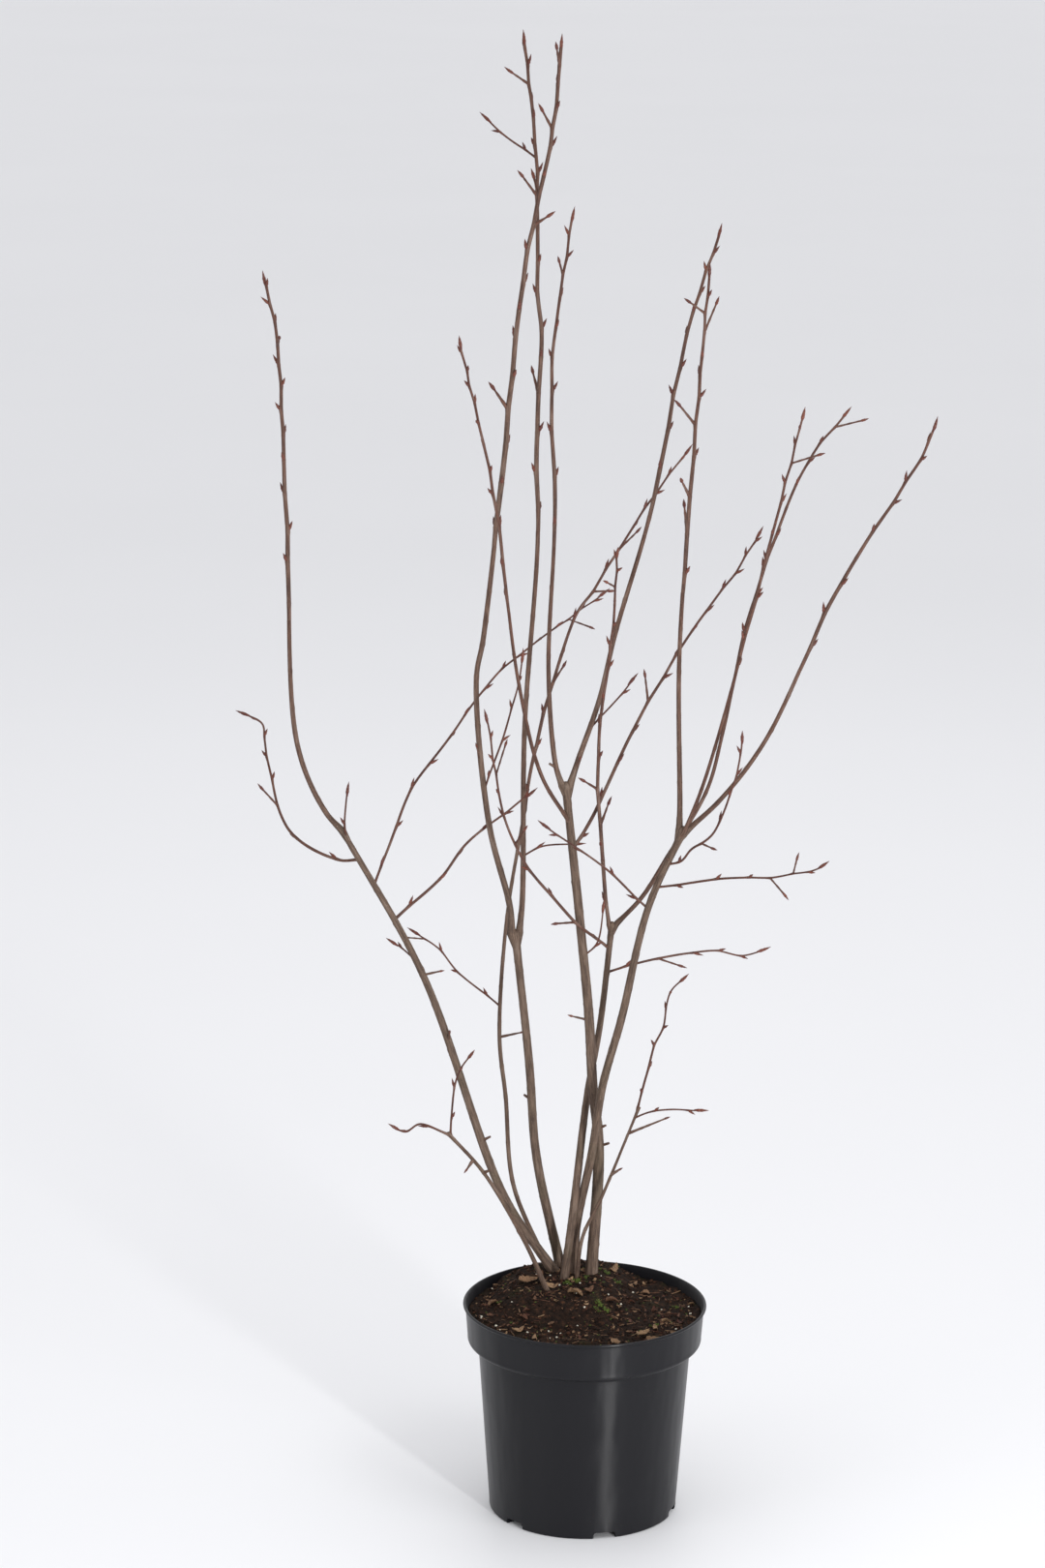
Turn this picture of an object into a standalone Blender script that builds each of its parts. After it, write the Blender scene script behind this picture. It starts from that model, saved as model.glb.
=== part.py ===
"""A potted juneberry in winter: eight bare stems from one crown, in a round nursery pot.

The pot stands on its flat underside. The origin is the middle of that underside,
+X is to the right, +Y is to the back and +Z is up.
"""
import math
import random

import bmesh
import bpy
import numpy as np
from mathutils import Matrix, Vector

MM = 0.001
GAP = 0.3

# Pot, in millimetres: a tapered body, a shoulder, a collar and a rolled rim
POT_HEIGHT = 225.6
RIM_RADIUS = 127.9
RIM_ROLL = 3.0
COLLAR_TOP_RADIUS = 125.2
COLLAR_FOOT_RADIUS = 122.8
COLLAR_DEPTH = 36.0
SHOULDER_DEPTH = 46.0
BODY_TOP_RADIUS = 111.5
BODY_FOOT_RADIUS = 99.0
BASE_RADIUS = 96.5
WALL = 2.0
POT_SIDES = 36

# Underside: a ring of feet parted by notches, a drained channel and a flat middle
NOTCHES = 6
NOTCH_WIDTH = 24.0
NOTCH_HEIGHT = 7.5
NOTCH_TURN = 13.0
CHANNEL_OUTER = 79.0
CHANNEL_INNER = 48.0
FLOOR_THICK = 2.5
DRAIN_RADIUS = 5.5

# Soil: level near the wall, heaped up into a flat crown round the stems' feet
SOIL_EDGE = 209.0
SOIL_BACK = 218.0
CROWN_TOP = 232.0
CROWN_LINE = ((-28, 25), (-18, 92))
CROWN_FLAT = 39.0
CROWN_FALL = 44.0
SOIL_RINGS = (26, 48, 66, 82, 95, 106, 115)

# Limbs. Every point is across, depth and up in millimetres; thick is the diameter at root and end.
# A foot or head above the taper is the swelling at the ground or under a fork.
STEMS = {
    "stem_left": dict(
        thick=(10.0, 6.0), foot=3.0, head=0.3,
        route=[(-33, 79, 232), (-86, 71, 318), (-172, 51, 567), (-255, 36, 725)]),
    "stem_low_left": dict(
        thick=(5.0, 3.4), foot=1.2, head=2.2,
        route=[(-40, 19, 232), (-62, 12, 285), (-107, 2, 367), (-144, -5, 412)]),
    "stem_sweeping": dict(
        thick=(5.0, 3.6), foot=1.2, head=0.3,
        route=[(-40, 98, 232), (-76, 106, 318), (-85, 112, 415), (-92, 116, 480), (-85, 133, 608),
               (-67, 150, 721)]),
    "stem_tall": dict(
        thick=(10.2, 8.0), foot=2.5, head=5.6,
        route=[(-25, 92, 232), (-52, 87, 358), (-60, 82, 458), (-76, 76, 606)]),
    "stem_middle": dict(
        thick=(12.4, 8.0), foot=2.0, head=6.0,
        route=[(8, 70, 232), (14, 74, 373), (7, 73, 440), (1, 69, 528), (-25, 50, 772)]),
    "stem_inner": dict(
        thick=(9.0, 5.8), foot=1.5, head=4.4,
        route=[(-21, 54, 232), (-12, 57, 310), (2, 90, 428), (14, 94, 500), (25, 77, 616)]),
    "stem_right": dict(
        thick=(9.2, 7.2), foot=1.5, head=7.6,
        route=[(-10, 71, 232), (-9, 71, 280), (6, 62, 366), (17, 52, 447), (36, 45, 525), (62, 32, 649),
               (96, 20, 733)]),
    "stem_low_right": dict(
        thick=(4.0, 2.6), foot=0.8, head=2.4,
        route=[(-8, 55, 232), (-2, 52, 280), (16, 50, 321), (55, 40, 427)]),
}

# Shoots: each starts on a fork, or beside a limb at the height "at". Its lower share is a plain bough,
# and the rest is a mass of twigs and buds. Without a bough the whole shoot is a mass.
SHOOTS = {
    "left": dict(
        on="stem_left", thick=(5.7, 2.2), bough=0.40,
        route=[(-255, 36, 725), (-273, 30, 748), (-300, 13, 821), (-307, -39, 1052), (-314, -99, 1264),
               (-325, -115, 1320)]),
    "sweeping": dict(
        on="stem_sweeping", thick=(3.5, 1.6), bough=0.0,
        route=[(-67, 150, 721), (-57, 159, 784), (-15, 185, 923), (4, 195, 950), (63, 228, 1039),
               (105, 246, 1093)]),
    "tall_left": dict(
        on="stem_tall", thick=(6.7, 2.8), bough=0.45,
        route=[(-80, 75, 606), (-82, 73, 636), (-104, 64, 726), (-118, 42, 885), (-111, 29, 931),
               (-93, -21, 1105), (-72, -75, 1320), (-45, -107, 1466), (-38, -125, 1550)]),
    "tall_right": dict(
        on="stem_tall", thick=(6.0, 2.6), bough=0.45,
        route=[(-72, 78, 606), (-69, 82, 640), (-68, 112, 819), (-56, 146, 1009), (-58, 165, 1116),
               (-54, 181, 1217), (-58, 189, 1266), (-61, 210, 1403), (-75, 230, 1526)]),
    "middle_left": dict(
        on="stem_middle", thick=(5.4, 2.0), bough=0.42,
        route=[(-29, 49, 772), (-36, 50, 795), (-44, 57, 891), (-39, 68, 1050), (-43, 82, 1206),
               (-23, 95, 1360)]),
    "middle_right": dict(
        on="stem_middle", thick=(6.0, 2.3), bough=0.45,
        route=[(-21, 51, 772), (-12, 54, 800), (9, 60, 862), (24, 74, 926), (60, 110, 1048),
               (97, 160, 1228), (131, 190, 1333)]),
    "middle_front": dict(
        on="stem_middle", at=733, thick=(4.3, 1.7), bough=0.45,
        route=[(-50, 20, 789), (-74, -30, 895), (-100, -139, 1110), (-133, -245, 1278)]),
    "middle_low": dict(
        on="stem_middle", at=704, thick=(3.5, 1.6), bough=0.0,
        route=[(6, 74, 738), (43, 105, 815), (109, 137, 923), (152, 165, 976), (179, 185, 1017)]),
    "inner_left": dict(
        on="stem_inner", thick=(3.8, 1.7), bough=0.0,
        route=[(22, 76, 616), (17, 73, 660), (8, 54, 804), (21, 18, 948), (23, -45, 1039)]),
    "inner_right": dict(
        on="stem_inner", thick=(4.8, 1.9), bough=0.46,
        route=[(29, 77, 616), (56, 77, 646), (82, 77, 690), (122, 83, 760), (138, 95, 819),
               (158, 122, 910), (176, 140, 971), (225, 195, 1085), (270, 225, 1138)]),
    "right_upright": dict(
        on="stem_right", thick=(5.6, 2.0), bough=0.42,
        route=[(92, 22, 733), (92, 18, 760), (88, -5, 918), (95, -50, 1100), (107, -130, 1334)]),
    "right_front": dict(
        on="stem_right", thick=(3.9, 1.7), bough=0.42,
        route=[(97, 15, 733), (114, 6, 782), (140, -27, 891), (200, -150, 1197)]),
    "right_outer": dict(
        on="stem_right", thick=(5.2, 2.0), bough=0.42,
        route=[(100, 21, 733), (134, 12, 769), (177, 0, 833), (247, -30, 1001), (325, -54, 1140),
               (337, -60, 1174)]),
    "low_left_tip": dict(
        on="stem_low_left", thick=(2.5, 1.4), bough=0.0,
        route=[(-145, -6, 412), (-173, -26, 429), (-187, -38, 424), (-202, -50, 435)]),
    "low_left_upright": dict(
        on="stem_low_left", thick=(2.2, 1.3), bough=0.0,
        route=[(-142, -4, 412), (-141, -14, 436), (-132, -45, 493), (-118, -60, 518)]),
    "low_right_tip": dict(
        on="stem_low_right", thick=(2.4, 1.3), bough=0.0,
        route=[(54, 41, 427), (69, -2, 507), (77, -17, 533), (84, -41, 579), (99, -55, 599)]),
    "low_right_side": dict(
        on="stem_low_right", at=416, thick=(1.9, 1.2), bough=0.0,
        route=[(66, 34, 424), (90, 24, 431), (123, 5, 436)]),
    "left_curl": dict(
        on="stem_left", at=694, thick=(3.0, 1.5), bough=0.0,
        route=[(-261, 48, 691), (-313, 75, 717), (-340, 116, 802), (-343, 124, 818), (-367, 135, 828)]),
    "left_spur": dict(
        on="stem_left", at=716, thick=(2.2, 1.3), bough=0.0,
        route=[(-252, 27, 736), (-249, 20, 778)]),
    "left_long": dict(
        on="stem_left", at=666, thick=(2.6, 1.3), bough=0.0,
        route=[(-211, 56, 696), (-185, 87, 758), (-145, 115, 809), (-99, 146, 866), (18, 225, 942)]),
    "left_inward": dict(
        on="stem_left", at=628, thick=(3.0, 1.5), bough=0.0,
        route=[(-154, 63, 669), (-130, 72, 701), (-104, 80, 722), (-57, 84, 758)]),
    "left_low": dict(
        on="stem_left", at=582, thick=(2.0, 1.3), bough=0.0,
        route=[(-192, 62, 590), (-208, 75, 598)]),
    "sweeping_low": dict(
        on="stem_sweeping", at=512, thick=(2.0, 1.3), bough=0.0,
        route=[(-136, 140, 544), (-160, 153, 568), (-188, 165, 584)]),
    "tall_left_low": dict(
        on="tall_left", at=762, thick=(2.0, 1.3), bough=0.0,
        route=[(-77, 40, 871), (-70, 30, 917)]),
    "tall_right_top": dict(
        on="tall_right", at=1400, thick=(2.2, 1.4), bough=0.0,
        route=[(-91, 233, 1419), (-117, 245, 1441)]),
    "tall_right_low": dict(
        on="tall_right", at=687, thick=(2.0, 1.3), bough=0.0,
        route=[(-48, 91, 696), (-7, 96, 698)]),
    "middle_spur": dict(
        on="stem_middle", at=584, thick=(1.9, 1.2), bough=0.0,
        route=[(9, 58, 602), (16, 48, 648)]),
    "middle_right_low": dict(
        on="middle_right", at=828, thick=(2.0, 1.3), bough=0.0,
        route=[(24, 66, 857), (46, 80, 882)]),
    "inner_outward": dict(
        on="stem_inner", at=562, thick=(2.4, 1.3), bough=0.0,
        route=[(78, 94, 576), (132, 116, 577), (165, 129, 569), (192, 140, 573)]),
    "inner_forward": dict(
        on="stem_inner", at=590, thick=(3.0, 1.5), bough=0.0,
        route=[(-20, 42, 635), (-78, 20, 718), (-108, -30, 867)]),
    "right_inward": dict(
        on="stem_right", at=646, thick=(2.3, 1.4), bough=0.0,
        route=[(12, 36, 691), (-51, 28, 738)]),
    "right_hook": dict(
        on="stem_right", at=694, thick=(2.3, 1.4), bough=0.0,
        route=[(94, 15, 701), (104, 2, 718), (126, -17, 741), (150, -60, 834), (150, -70, 857)]),
    "right_outward": dict(
        on="stem_right", at=669, thick=(2.4, 1.3), bough=0.0,
        route=[(134, -12, 690), (194, -53, 705), (230, -79, 721), (236, -85, 728)]),
}

# Growth rule of a mass: alternate nodes, far apart low on a shoot and close at its tip
SEED = 41
NODE_STEP = (46.0, 17.0)
NODE_TURN = 144.0
NODE_SWELL = 1.14
ZIGZAG = 0.7
BUD_LENGTH = (8.0, 11.5)
BUD_RADIUS = 1.75
BUD_LEAN = (16.0, 34.0)
BUD_TWIST = 27.0
TIP_BUD = 1.3
SPUR_CHANCE = 0.16
SPUR_LENGTH = (14.0, 30.0)
SPUR_LEAN = (35.0, 55.0)
SPACE = 34.0
CLEARANCE = 1.5

LINE_STEP = 3.0
LIMB_STEP = 40.0
LIMB_SIDES = 2
TWIG_SIDES = 0


def clear_scene():
    for item in list(bpy.data.objects):
        bpy.data.objects.remove(item, do_unlink=True)


def new_collection(name):
    group = bpy.data.collections.new(name)
    bpy.context.scene.collection.children.link(group)
    return group


def add_object(name, data, group):
    item = bpy.data.objects.new(name, data)
    group.objects.link(item)
    return item


def finish(item, colour, roughness):
    """Give one piece its own plain surface."""
    surface = bpy.data.materials.new(item.name + "_surface")
    surface.use_nodes = True
    shader = surface.node_tree.nodes["Principled BSDF"]
    shader.inputs["Base Color"].default_value = (*colour, 1.0)
    shader.inputs["Roughness"].default_value = roughness
    shader.inputs["Metallic"].default_value = 0.0
    item.data.materials.clear()
    item.data.materials.append(surface)


def as_mesh(item):
    """Replace an object by its evaluated mesh in world space, with loose doubles merged."""
    graph = bpy.context.evaluated_depsgraph_get()
    mesh = bpy.data.meshes.new_from_object(item.evaluated_get(graph))
    mesh.transform(item.matrix_world)
    name, group, old = item.name, item.users_collection[0], item.data
    bpy.data.objects.remove(item, do_unlink=True)
    if isinstance(old, bpy.types.Curve):
        bpy.data.curves.remove(old)
    solid = add_object(name, mesh, group)
    solid.name = name
    shape = bmesh.new()
    shape.from_mesh(mesh)
    bmesh.ops.remove_doubles(shape, verts=shape.verts, dist=0.01 * MM)
    bmesh.ops.recalc_face_normals(shape, faces=shape.faces)
    shape.to_mesh(mesh)
    shape.free()
    return solid


def turned(name, profile, group):
    """Turn a profile of radius and height pairs, its outer side running down, round the Z axis."""
    mesh = bpy.data.meshes.new(name)
    points = [(radius * MM, 0, up * MM) for radius, up in profile]
    edges = [(i, i + 1) for i in range(len(points) - 1)]
    if profile[0][0] > 0:
        edges.append((len(points) - 1, 0))
    mesh.from_pydata(points, edges, [])
    item = add_object(name, mesh, group)
    screw = item.modifiers.new("Turn", "SCREW")
    screw.steps = screw.render_steps = POT_SIDES
    screw.use_merge_vertices = True
    screw.merge_threshold = 0.00005
    screw.use_normal_calculate = True
    return item


def pot_outside():
    """Outer side of the pot from the rolled rim down to the edge of the underside."""
    rolled = [(RIM_RADIUS - RIM_ROLL / 2 + RIM_ROLL / 2 * math.cos(turn),
               POT_HEIGHT - RIM_ROLL / 2 + RIM_ROLL / 2 * math.sin(turn))
              for turn in np.radians((135, 90, 45, 0, -50))]
    return rolled + [
        (COLLAR_TOP_RADIUS, POT_HEIGHT - RIM_ROLL * 1.6),
        (COLLAR_FOOT_RADIUS, POT_HEIGHT - COLLAR_DEPTH),
        (COLLAR_FOOT_RADIUS - 2.0, POT_HEIGHT - COLLAR_DEPTH - 4.5),
        (BODY_TOP_RADIUS + 4.0, POT_HEIGHT - SHOULDER_DEPTH + 3.0),
        (BODY_TOP_RADIUS, POT_HEIGHT - SHOULDER_DEPTH),
        (BODY_FOOT_RADIUS, 6.0),
        (BODY_FOOT_RADIUS - 0.8, 1.8),
        (BASE_RADIUS, 0.0),
    ]


def pot_inside():
    """Inner side of the pot from the floor's middle up to the rim."""
    return [
        (0.0, FLOOR_THICK),
        (CHANNEL_INNER - 2.0, FLOOR_THICK),
        (CHANNEL_INNER, NOTCH_HEIGHT + FLOOR_THICK),
        (BODY_FOOT_RADIUS - WALL, NOTCH_HEIGHT + FLOOR_THICK),
        (BODY_TOP_RADIUS - WALL, POT_HEIGHT - SHOULDER_DEPTH - 1.0),
        (BODY_TOP_RADIUS + 3.0 - WALL, POT_HEIGHT - SHOULDER_DEPTH + 4.0),
        (COLLAR_FOOT_RADIUS - WALL - 1.2, POT_HEIGHT - COLLAR_DEPTH - 3.0),
        (COLLAR_FOOT_RADIUS - WALL, POT_HEIGHT - COLLAR_DEPTH + 2.0),
        (COLLAR_TOP_RADIUS - WALL, POT_HEIGHT - RIM_ROLL),
    ]


def make_pot(group, cutters):
    """The pot's turned shell, with notches between its feet and drain holes in the channel."""
    underside = [
        (CHANNEL_OUTER, 0.0),
        (CHANNEL_OUTER, NOTCH_HEIGHT),
        (CHANNEL_INNER + FLOOR_THICK, NOTCH_HEIGHT),
        (CHANNEL_INNER + FLOOR_THICK, 0.0),
        (0.0, 0.0),
    ]
    pot = as_mesh(turned("pot", pot_inside() + pot_outside() + underside, group))
    tool = bmesh.new()
    for k in range(NOTCHES):
        turn = math.radians(360 / NOTCHES * k + NOTCH_TURN)
        reach = (CHANNEL_OUTER + BODY_FOOT_RADIUS + 8) / 2
        place = Matrix.Rotation(turn, 4, "Z") @ Matrix.Translation((0, -reach * MM, 0))
        size = Matrix.Diagonal((NOTCH_WIDTH * MM, (BODY_FOOT_RADIUS + 12 - CHANNEL_OUTER) * MM,
                                2 * (NOTCH_HEIGHT - 0.5) * MM, 1))
        bmesh.ops.create_cube(tool, size=1.0, matrix=place @ size)
        drain = Matrix.Rotation(turn + math.pi / NOTCHES, 4, "Z") @ Matrix.Translation(
            (0, -(CHANNEL_INNER + CHANNEL_OUTER) / 2 * MM, NOTCH_HEIGHT * MM))
        bmesh.ops.create_cone(tool, cap_ends=True, segments=10, radius1=DRAIN_RADIUS * MM,
                              radius2=DRAIN_RADIUS * MM, depth=12 * MM, matrix=drain)
    mesh = bpy.data.meshes.new("notches_and_drains")
    tool.to_mesh(mesh)
    tool.free()
    cutter = add_object("notches_and_drains", mesh, cutters)
    cutter.hide_render = True
    cutter.display_type = "WIRE"
    cut = pot.modifiers.new("Notches", "BOOLEAN")
    cut.operation = "DIFFERENCE"
    cut.object = cutter
    finish(pot, (0.018, 0.018, 0.020), 0.38)
    return pot


def soil_height(across, depth):
    """Height of the soil: a flat crown round the feet that falls away to the level near the wall."""
    (ax, ay), (bx, by) = CROWN_LINE
    length2 = (bx - ax) ** 2 + (by - ay) ** 2
    share = ((across - ax) * (bx - ax) + (depth - ay) * (by - ay)) / length2
    share = min(1.0, max(0.0, share))
    away = math.hypot(across - ax - share * (bx - ax), depth - ay - share * (by - ay))
    fall = min(1.0, max(0.0, (away - CROWN_FLAT) / CROWN_FALL))
    heap = SOIL_EDGE + (CROWN_TOP - SOIL_EDGE) * (1 - fall * fall * (3 - 2 * fall))
    wall = COLLAR_TOP_RADIUS - WALL - GAP
    return min(heap, SOIL_BACK + wall - math.hypot(across, depth))


def make_soil(group):
    """The soil fills the pot 0.3 mm clear of its wall, and its top is heaped by the rule above."""
    wall = [(radius - GAP, up + (GAP if radius < BODY_FOOT_RADIUS else 0))
            for radius, up in pot_inside()[3:-1]]
    slope = (COLLAR_TOP_RADIUS - COLLAR_FOOT_RADIUS) / COLLAR_DEPTH
    edge = COLLAR_FOOT_RADIUS - WALL - GAP + slope * (SOIL_EDGE - POT_HEIGHT + COLLAR_DEPTH)
    top = [(0.0, SOIL_EDGE)] + [(ring, SOIL_EDGE) for ring in SOIL_RINGS] + [(edge, SOIL_EDGE)]
    floor = [(CHANNEL_INNER - 2.4, NOTCH_HEIGHT + FLOOR_THICK + GAP), (0.0, NOTCH_HEIGHT + FLOOR_THICK + GAP)]
    soil = as_mesh(turned("soil", top + wall[::-1] + floor, group))
    for vertex in soil.data.vertices:
        if abs(vertex.co.z - SOIL_EDGE * MM) < 0.01 * MM:
            vertex.co.z = soil_height(vertex.co.x / MM, vertex.co.y / MM) * MM
    finish(soil, (0.030, 0.018, 0.012), 0.95)
    return soil


def smooth_line(route, step=LINE_STEP):
    """Centripetal curve through the route's points, read every few millimetres."""
    points = np.array(route, float)
    points = np.vstack([2 * points[0] - points[1], points, 2 * points[-1] - points[-2]])
    line = []
    for p0, p1, p2, p3 in zip(points, points[1:], points[2:], points[3:]):
        t1 = math.sqrt(np.linalg.norm(p1 - p0))
        t2 = t1 + math.sqrt(np.linalg.norm(p2 - p1))
        t3 = t2 + math.sqrt(np.linalg.norm(p3 - p2))
        count = max(2, round(np.linalg.norm(p2 - p1) / step))
        for t in np.linspace(t1, t2, count, endpoint=False):
            a1 = p0 + (p1 - p0) * t / t1
            a2 = p1 + (p2 - p1) * (t - t1) / (t2 - t1)
            a3 = p2 + (p3 - p2) * (t - t2) / (t3 - t2)
            b1 = a1 + (a2 - a1) * t / t2
            b2 = a2 + (a3 - a2) * (t - t1) / (t3 - t1)
            line.append(b1 + (b2 - b1) * (t - t1) / (t2 - t1))
    line.append(points[-2])
    return np.array(line)


class Limb:
    """A tapering centre line, and the flat seat that its root is cut to."""

    def __init__(self, route, thick, foot=0.0, head=0.0, seat=None):
        self.line = smooth_line(route)
        run = np.linalg.norm(np.diff(self.line, axis=0), axis=1)
        self.run = np.concatenate([[0.0], np.cumsum(run)])
        self.length = self.run[-1]
        self.thick, self.foot, self.head, self.seat = thick, foot, head, seat

    def at(self, run):
        return np.array([np.interp(run, self.run, self.line[:, k]) for k in range(3)])

    def toward(self, run):
        ahead = self.at(min(run + LINE_STEP, self.length)) - self.at(max(run - LINE_STEP, 0.0))
        return ahead / np.linalg.norm(ahead)

    def radius(self, run):
        root, end = self.thick
        swell = self.foot * math.exp(-run / 14) + self.head * math.exp((run - self.length) / 9)
        return (root + (end - root) * run / self.length + swell) / 2

    def part(self, start, end, seat):
        """The stretch of this limb between two lengths along it, as a limb of its own."""
        piece = Limb([self.at(run) for run in np.linspace(start, end, 4)], (1, 1), seat=seat)
        inside = (self.run > start) & (self.run < end)
        piece.line = np.vstack([self.at(start), self.line[inside], self.at(end)])
        run = np.linalg.norm(np.diff(piece.line, axis=0), axis=1)
        piece.run = np.concatenate([[0.0], np.cumsum(run)])
        piece.length = piece.run[-1]
        piece.thick = (2 * self.radius(start), 2 * self.radius(end))
        return piece


def side_seat(parent, height, route):
    """Root point on the parent's centre line, and the plane beside its bark that the twig starts from."""
    k = int(np.argmin(np.abs(parent.line[:, 2] - height)))
    root, axis = parent.line[k], parent.toward(parent.run[k])
    out = np.array(route[0], float) - root
    out -= axis * out.dot(axis)
    out /= np.linalg.norm(out)
    return root, (root + out * (parent.radius(parent.run[k]) + GAP), out)


def lay_out_limbs():
    """Work out every limb: stems on the ground, shoots on their stems, masses on their boughs."""
    limbs, axes = {}, {}
    for name, stem in STEMS.items():
        ground = (np.array([0, 0, CROWN_TOP + GAP]), np.array([0, 0, 1.0]))
        axes[name] = Limb(stem["route"], stem["thick"], stem["foot"], stem["head"], ground)
        limbs[name] = axes[name]
    for name, shoot in SHOOTS.items():
        parent, route = axes[shoot["on"]], shoot["route"]
        if "at" in shoot:
            root, seat = side_seat(parent, shoot["at"], route)
            route = [tuple(root)] + route
        else:
            axis = parent.toward(parent.length)
            seat = (parent.at(parent.length) + axis * GAP, axis)
        axes[name] = whole = Limb(route, shoot["thick"], seat=seat)
        split = whole.length * shoot["bough"]
        if split > 0:
            limbs["bough_" + name] = whole.part(0.0, split, seat)
            seat = (whole.at(split) + whole.toward(split) * GAP, whole.toward(split))
        limbs["twigs_" + name] = whole.part(split, whole.length, seat)
    return limbs


def tube(name, points, radii, group, sides, before):
    """A tapering round tube through points, run on below its root for the seat's cut."""
    curve = bpy.data.curves.new(name, "CURVE")
    curve.dimensions = "3D"
    curve.bevel_depth = MM
    curve.bevel_resolution = sides
    curve.use_fill_caps = True
    back = points[0] - points[1]
    points = [points[0] + back / np.linalg.norm(back) * before] + list(points)
    spline = curve.splines.new("POLY")
    spline.points.add(len(points) - 1)
    for point, place, radius in zip(spline.points, points, [radii[0]] + list(radii)):
        point.co = (*(place * MM), 1.0)
        point.radius = radius
    return as_mesh(add_object(name, curve, group))


def cut_flat(item, seat):
    """Cut a limb square at its seat, keep what lies beyond it and close the cut."""
    shape = bmesh.new()
    shape.from_mesh(item.data)
    every = shape.verts[:] + shape.edges[:] + shape.faces[:]
    cut = bmesh.ops.bisect_plane(shape, geom=every, plane_co=seat[0] * MM, plane_no=seat[1],
                                 clear_inner=True)
    rim = [edge for edge in cut["geom_cut"] if isinstance(edge, bmesh.types.BMEdge)]
    bmesh.ops.edgeloop_fill(shape, edges=rim)
    bmesh.ops.recalc_face_normals(shape, faces=shape.faces)
    shape.to_mesh(item.data)
    shape.free()


def stations(limb):
    """Lengths along a limb at which its tube has a ring: closer where the root or a fork swells."""
    plain = np.linspace(0, limb.length, max(3, 1 + round(limb.length / LIMB_STEP)))
    runs = set(plain)
    if limb.foot:
        runs |= {6.0, 16.0}
    if limb.head > 1.0:
        runs |= {limb.length - 6.0, limb.length - 16.0}
    return sorted(runs)


def make_limb(name, limb, group):
    """A stem or bough: one tapering tube, cut square at its seat."""
    runs = stations(limb)
    points = [limb.at(run) for run in runs]
    item = tube(name, points, [limb.radius(run) for run in runs], group, LIMB_SIDES, 14.0)
    cut_flat(item, limb.seat)
    young = "bough" in name
    finish(item, (0.115, 0.078, 0.060) if young else (0.135, 0.105, 0.085), 0.78)
    return item


def bud(place, toward, length, radius, group):
    """A pointed bud: two four-sided cones, root to root, widest below its middle."""
    shape = bmesh.new()
    bmesh.ops.create_uvsphere(shape, u_segments=4, v_segments=2, radius=1.0)
    turn = Vector(toward).to_track_quat("Z", "X").to_matrix().to_4x4()
    turn = turn @ Matrix.Rotation(math.radians(BUD_TWIST), 4, "Z")
    for vertex in shape.verts:
        up = -0.38 if vertex.co.z < -0.5 else (1.0 if vertex.co.z > 0.5 else 0.12)
        vertex.co = (vertex.co.x * radius, vertex.co.y * radius, up * length)
    place = Matrix.Scale(MM, 4) @ Matrix.Translation(Vector(place)) @ turn
    bmesh.ops.transform(shape, matrix=place, verts=shape.verts)
    mesh = bpy.data.meshes.new("bud")
    shape.to_mesh(mesh)
    shape.free()
    return add_object("bud", mesh, group)


def is_clear(points, name, limbs):
    """Whether a side growth stays away from every limb but its own."""
    for other, limb in limbs.items():
        if other == name:
            continue
        for point in points:
            away = np.linalg.norm(limb.line - point, axis=1)
            if away.min() < limb.radius(limb.run[int(away.argmin())]) + BUD_RADIUS + CLEARANCE:
                return False
    return True


def nodes_along(length, chance):
    """Lengths along a shoot at which it carries a bud, closer together towards the tip."""
    low, high = NODE_STEP
    runs, run = [], low * chance.uniform(0.35, 0.6)
    while run < length - high * 0.6:
        runs.append(run)
        run += (low + (high - low) * run / length) * chance.uniform(0.8, 1.2)
    return runs


def grow(name, limb, limbs):
    """The seeded rule: a leader's points and radii at its nodes, and the bud or spur that each carries."""
    chance = random.Random(SEED + sum(ord(letter) for letter in name))
    heading = chance.uniform(0, 360)
    points, radii, growths = [limb.at(0)], [limb.radius(0)], []
    for run in nodes_along(limb.length, chance):
        heading += NODE_TURN + chance.uniform(-20, 20)
        place, along, radius = limb.at(run), limb.toward(run), limb.radius(run)
        across = np.cross(along, (math.cos(math.radians(heading)), math.sin(math.radians(heading)), 0.3))
        across /= np.linalg.norm(across)
        points.append(place + across * ZIGZAG)
        radii.append(radius * NODE_SWELL)
        spur = chance.random() < SPUR_CHANCE and run > 30
        lean = math.radians(chance.uniform(*(SPUR_LEAN if spur else BUD_LEAN)))
        toward = along * math.cos(lean) + across * math.sin(lean)
        reach = min(chance.uniform(*SPUR_LENGTH), SPACE) if spur else 0.0
        length = chance.uniform(*BUD_LENGTH) * (0.72 + 0.1 * radius)
        root = points[-1] + across * radius * 0.5
        tip = root + toward * (reach + length)
        if is_clear([root + (tip - root) * share for share in (0.3, 0.65, 1.0)], name, limbs):
            growths.append((root, toward, reach, length, radius))
    points.append(limb.at(limb.length))
    radii.append(limb.radius(limb.length))
    return points, radii, growths


def make_mass(name, limb, limbs, group, scraps):
    """A mass of bare twigs: a leader with alternate buds and a few spurs, fused into one solid."""
    points, radii, growths = grow(name, limb, limbs)
    item = tube(name, points, radii, group, TWIG_SIDES, 9.0)
    cut_flat(item, limb.seat)
    for root, toward, reach, length, radius in growths:
        if reach:
            spur = [root, root + toward * reach]
            tube("spur", spur, [radius * 0.62, radius * 0.55], scraps, 0, 0.4)
            root = spur[1]
        bud(root, toward, length, BUD_RADIUS, scraps)
    bud(points[-1], limb.toward(limb.length), BUD_LENGTH[1] * TIP_BUD, BUD_RADIUS, scraps)
    fuse(item, scraps)
    finish(item, (0.125, 0.055, 0.040), 0.6)
    return item


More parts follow.
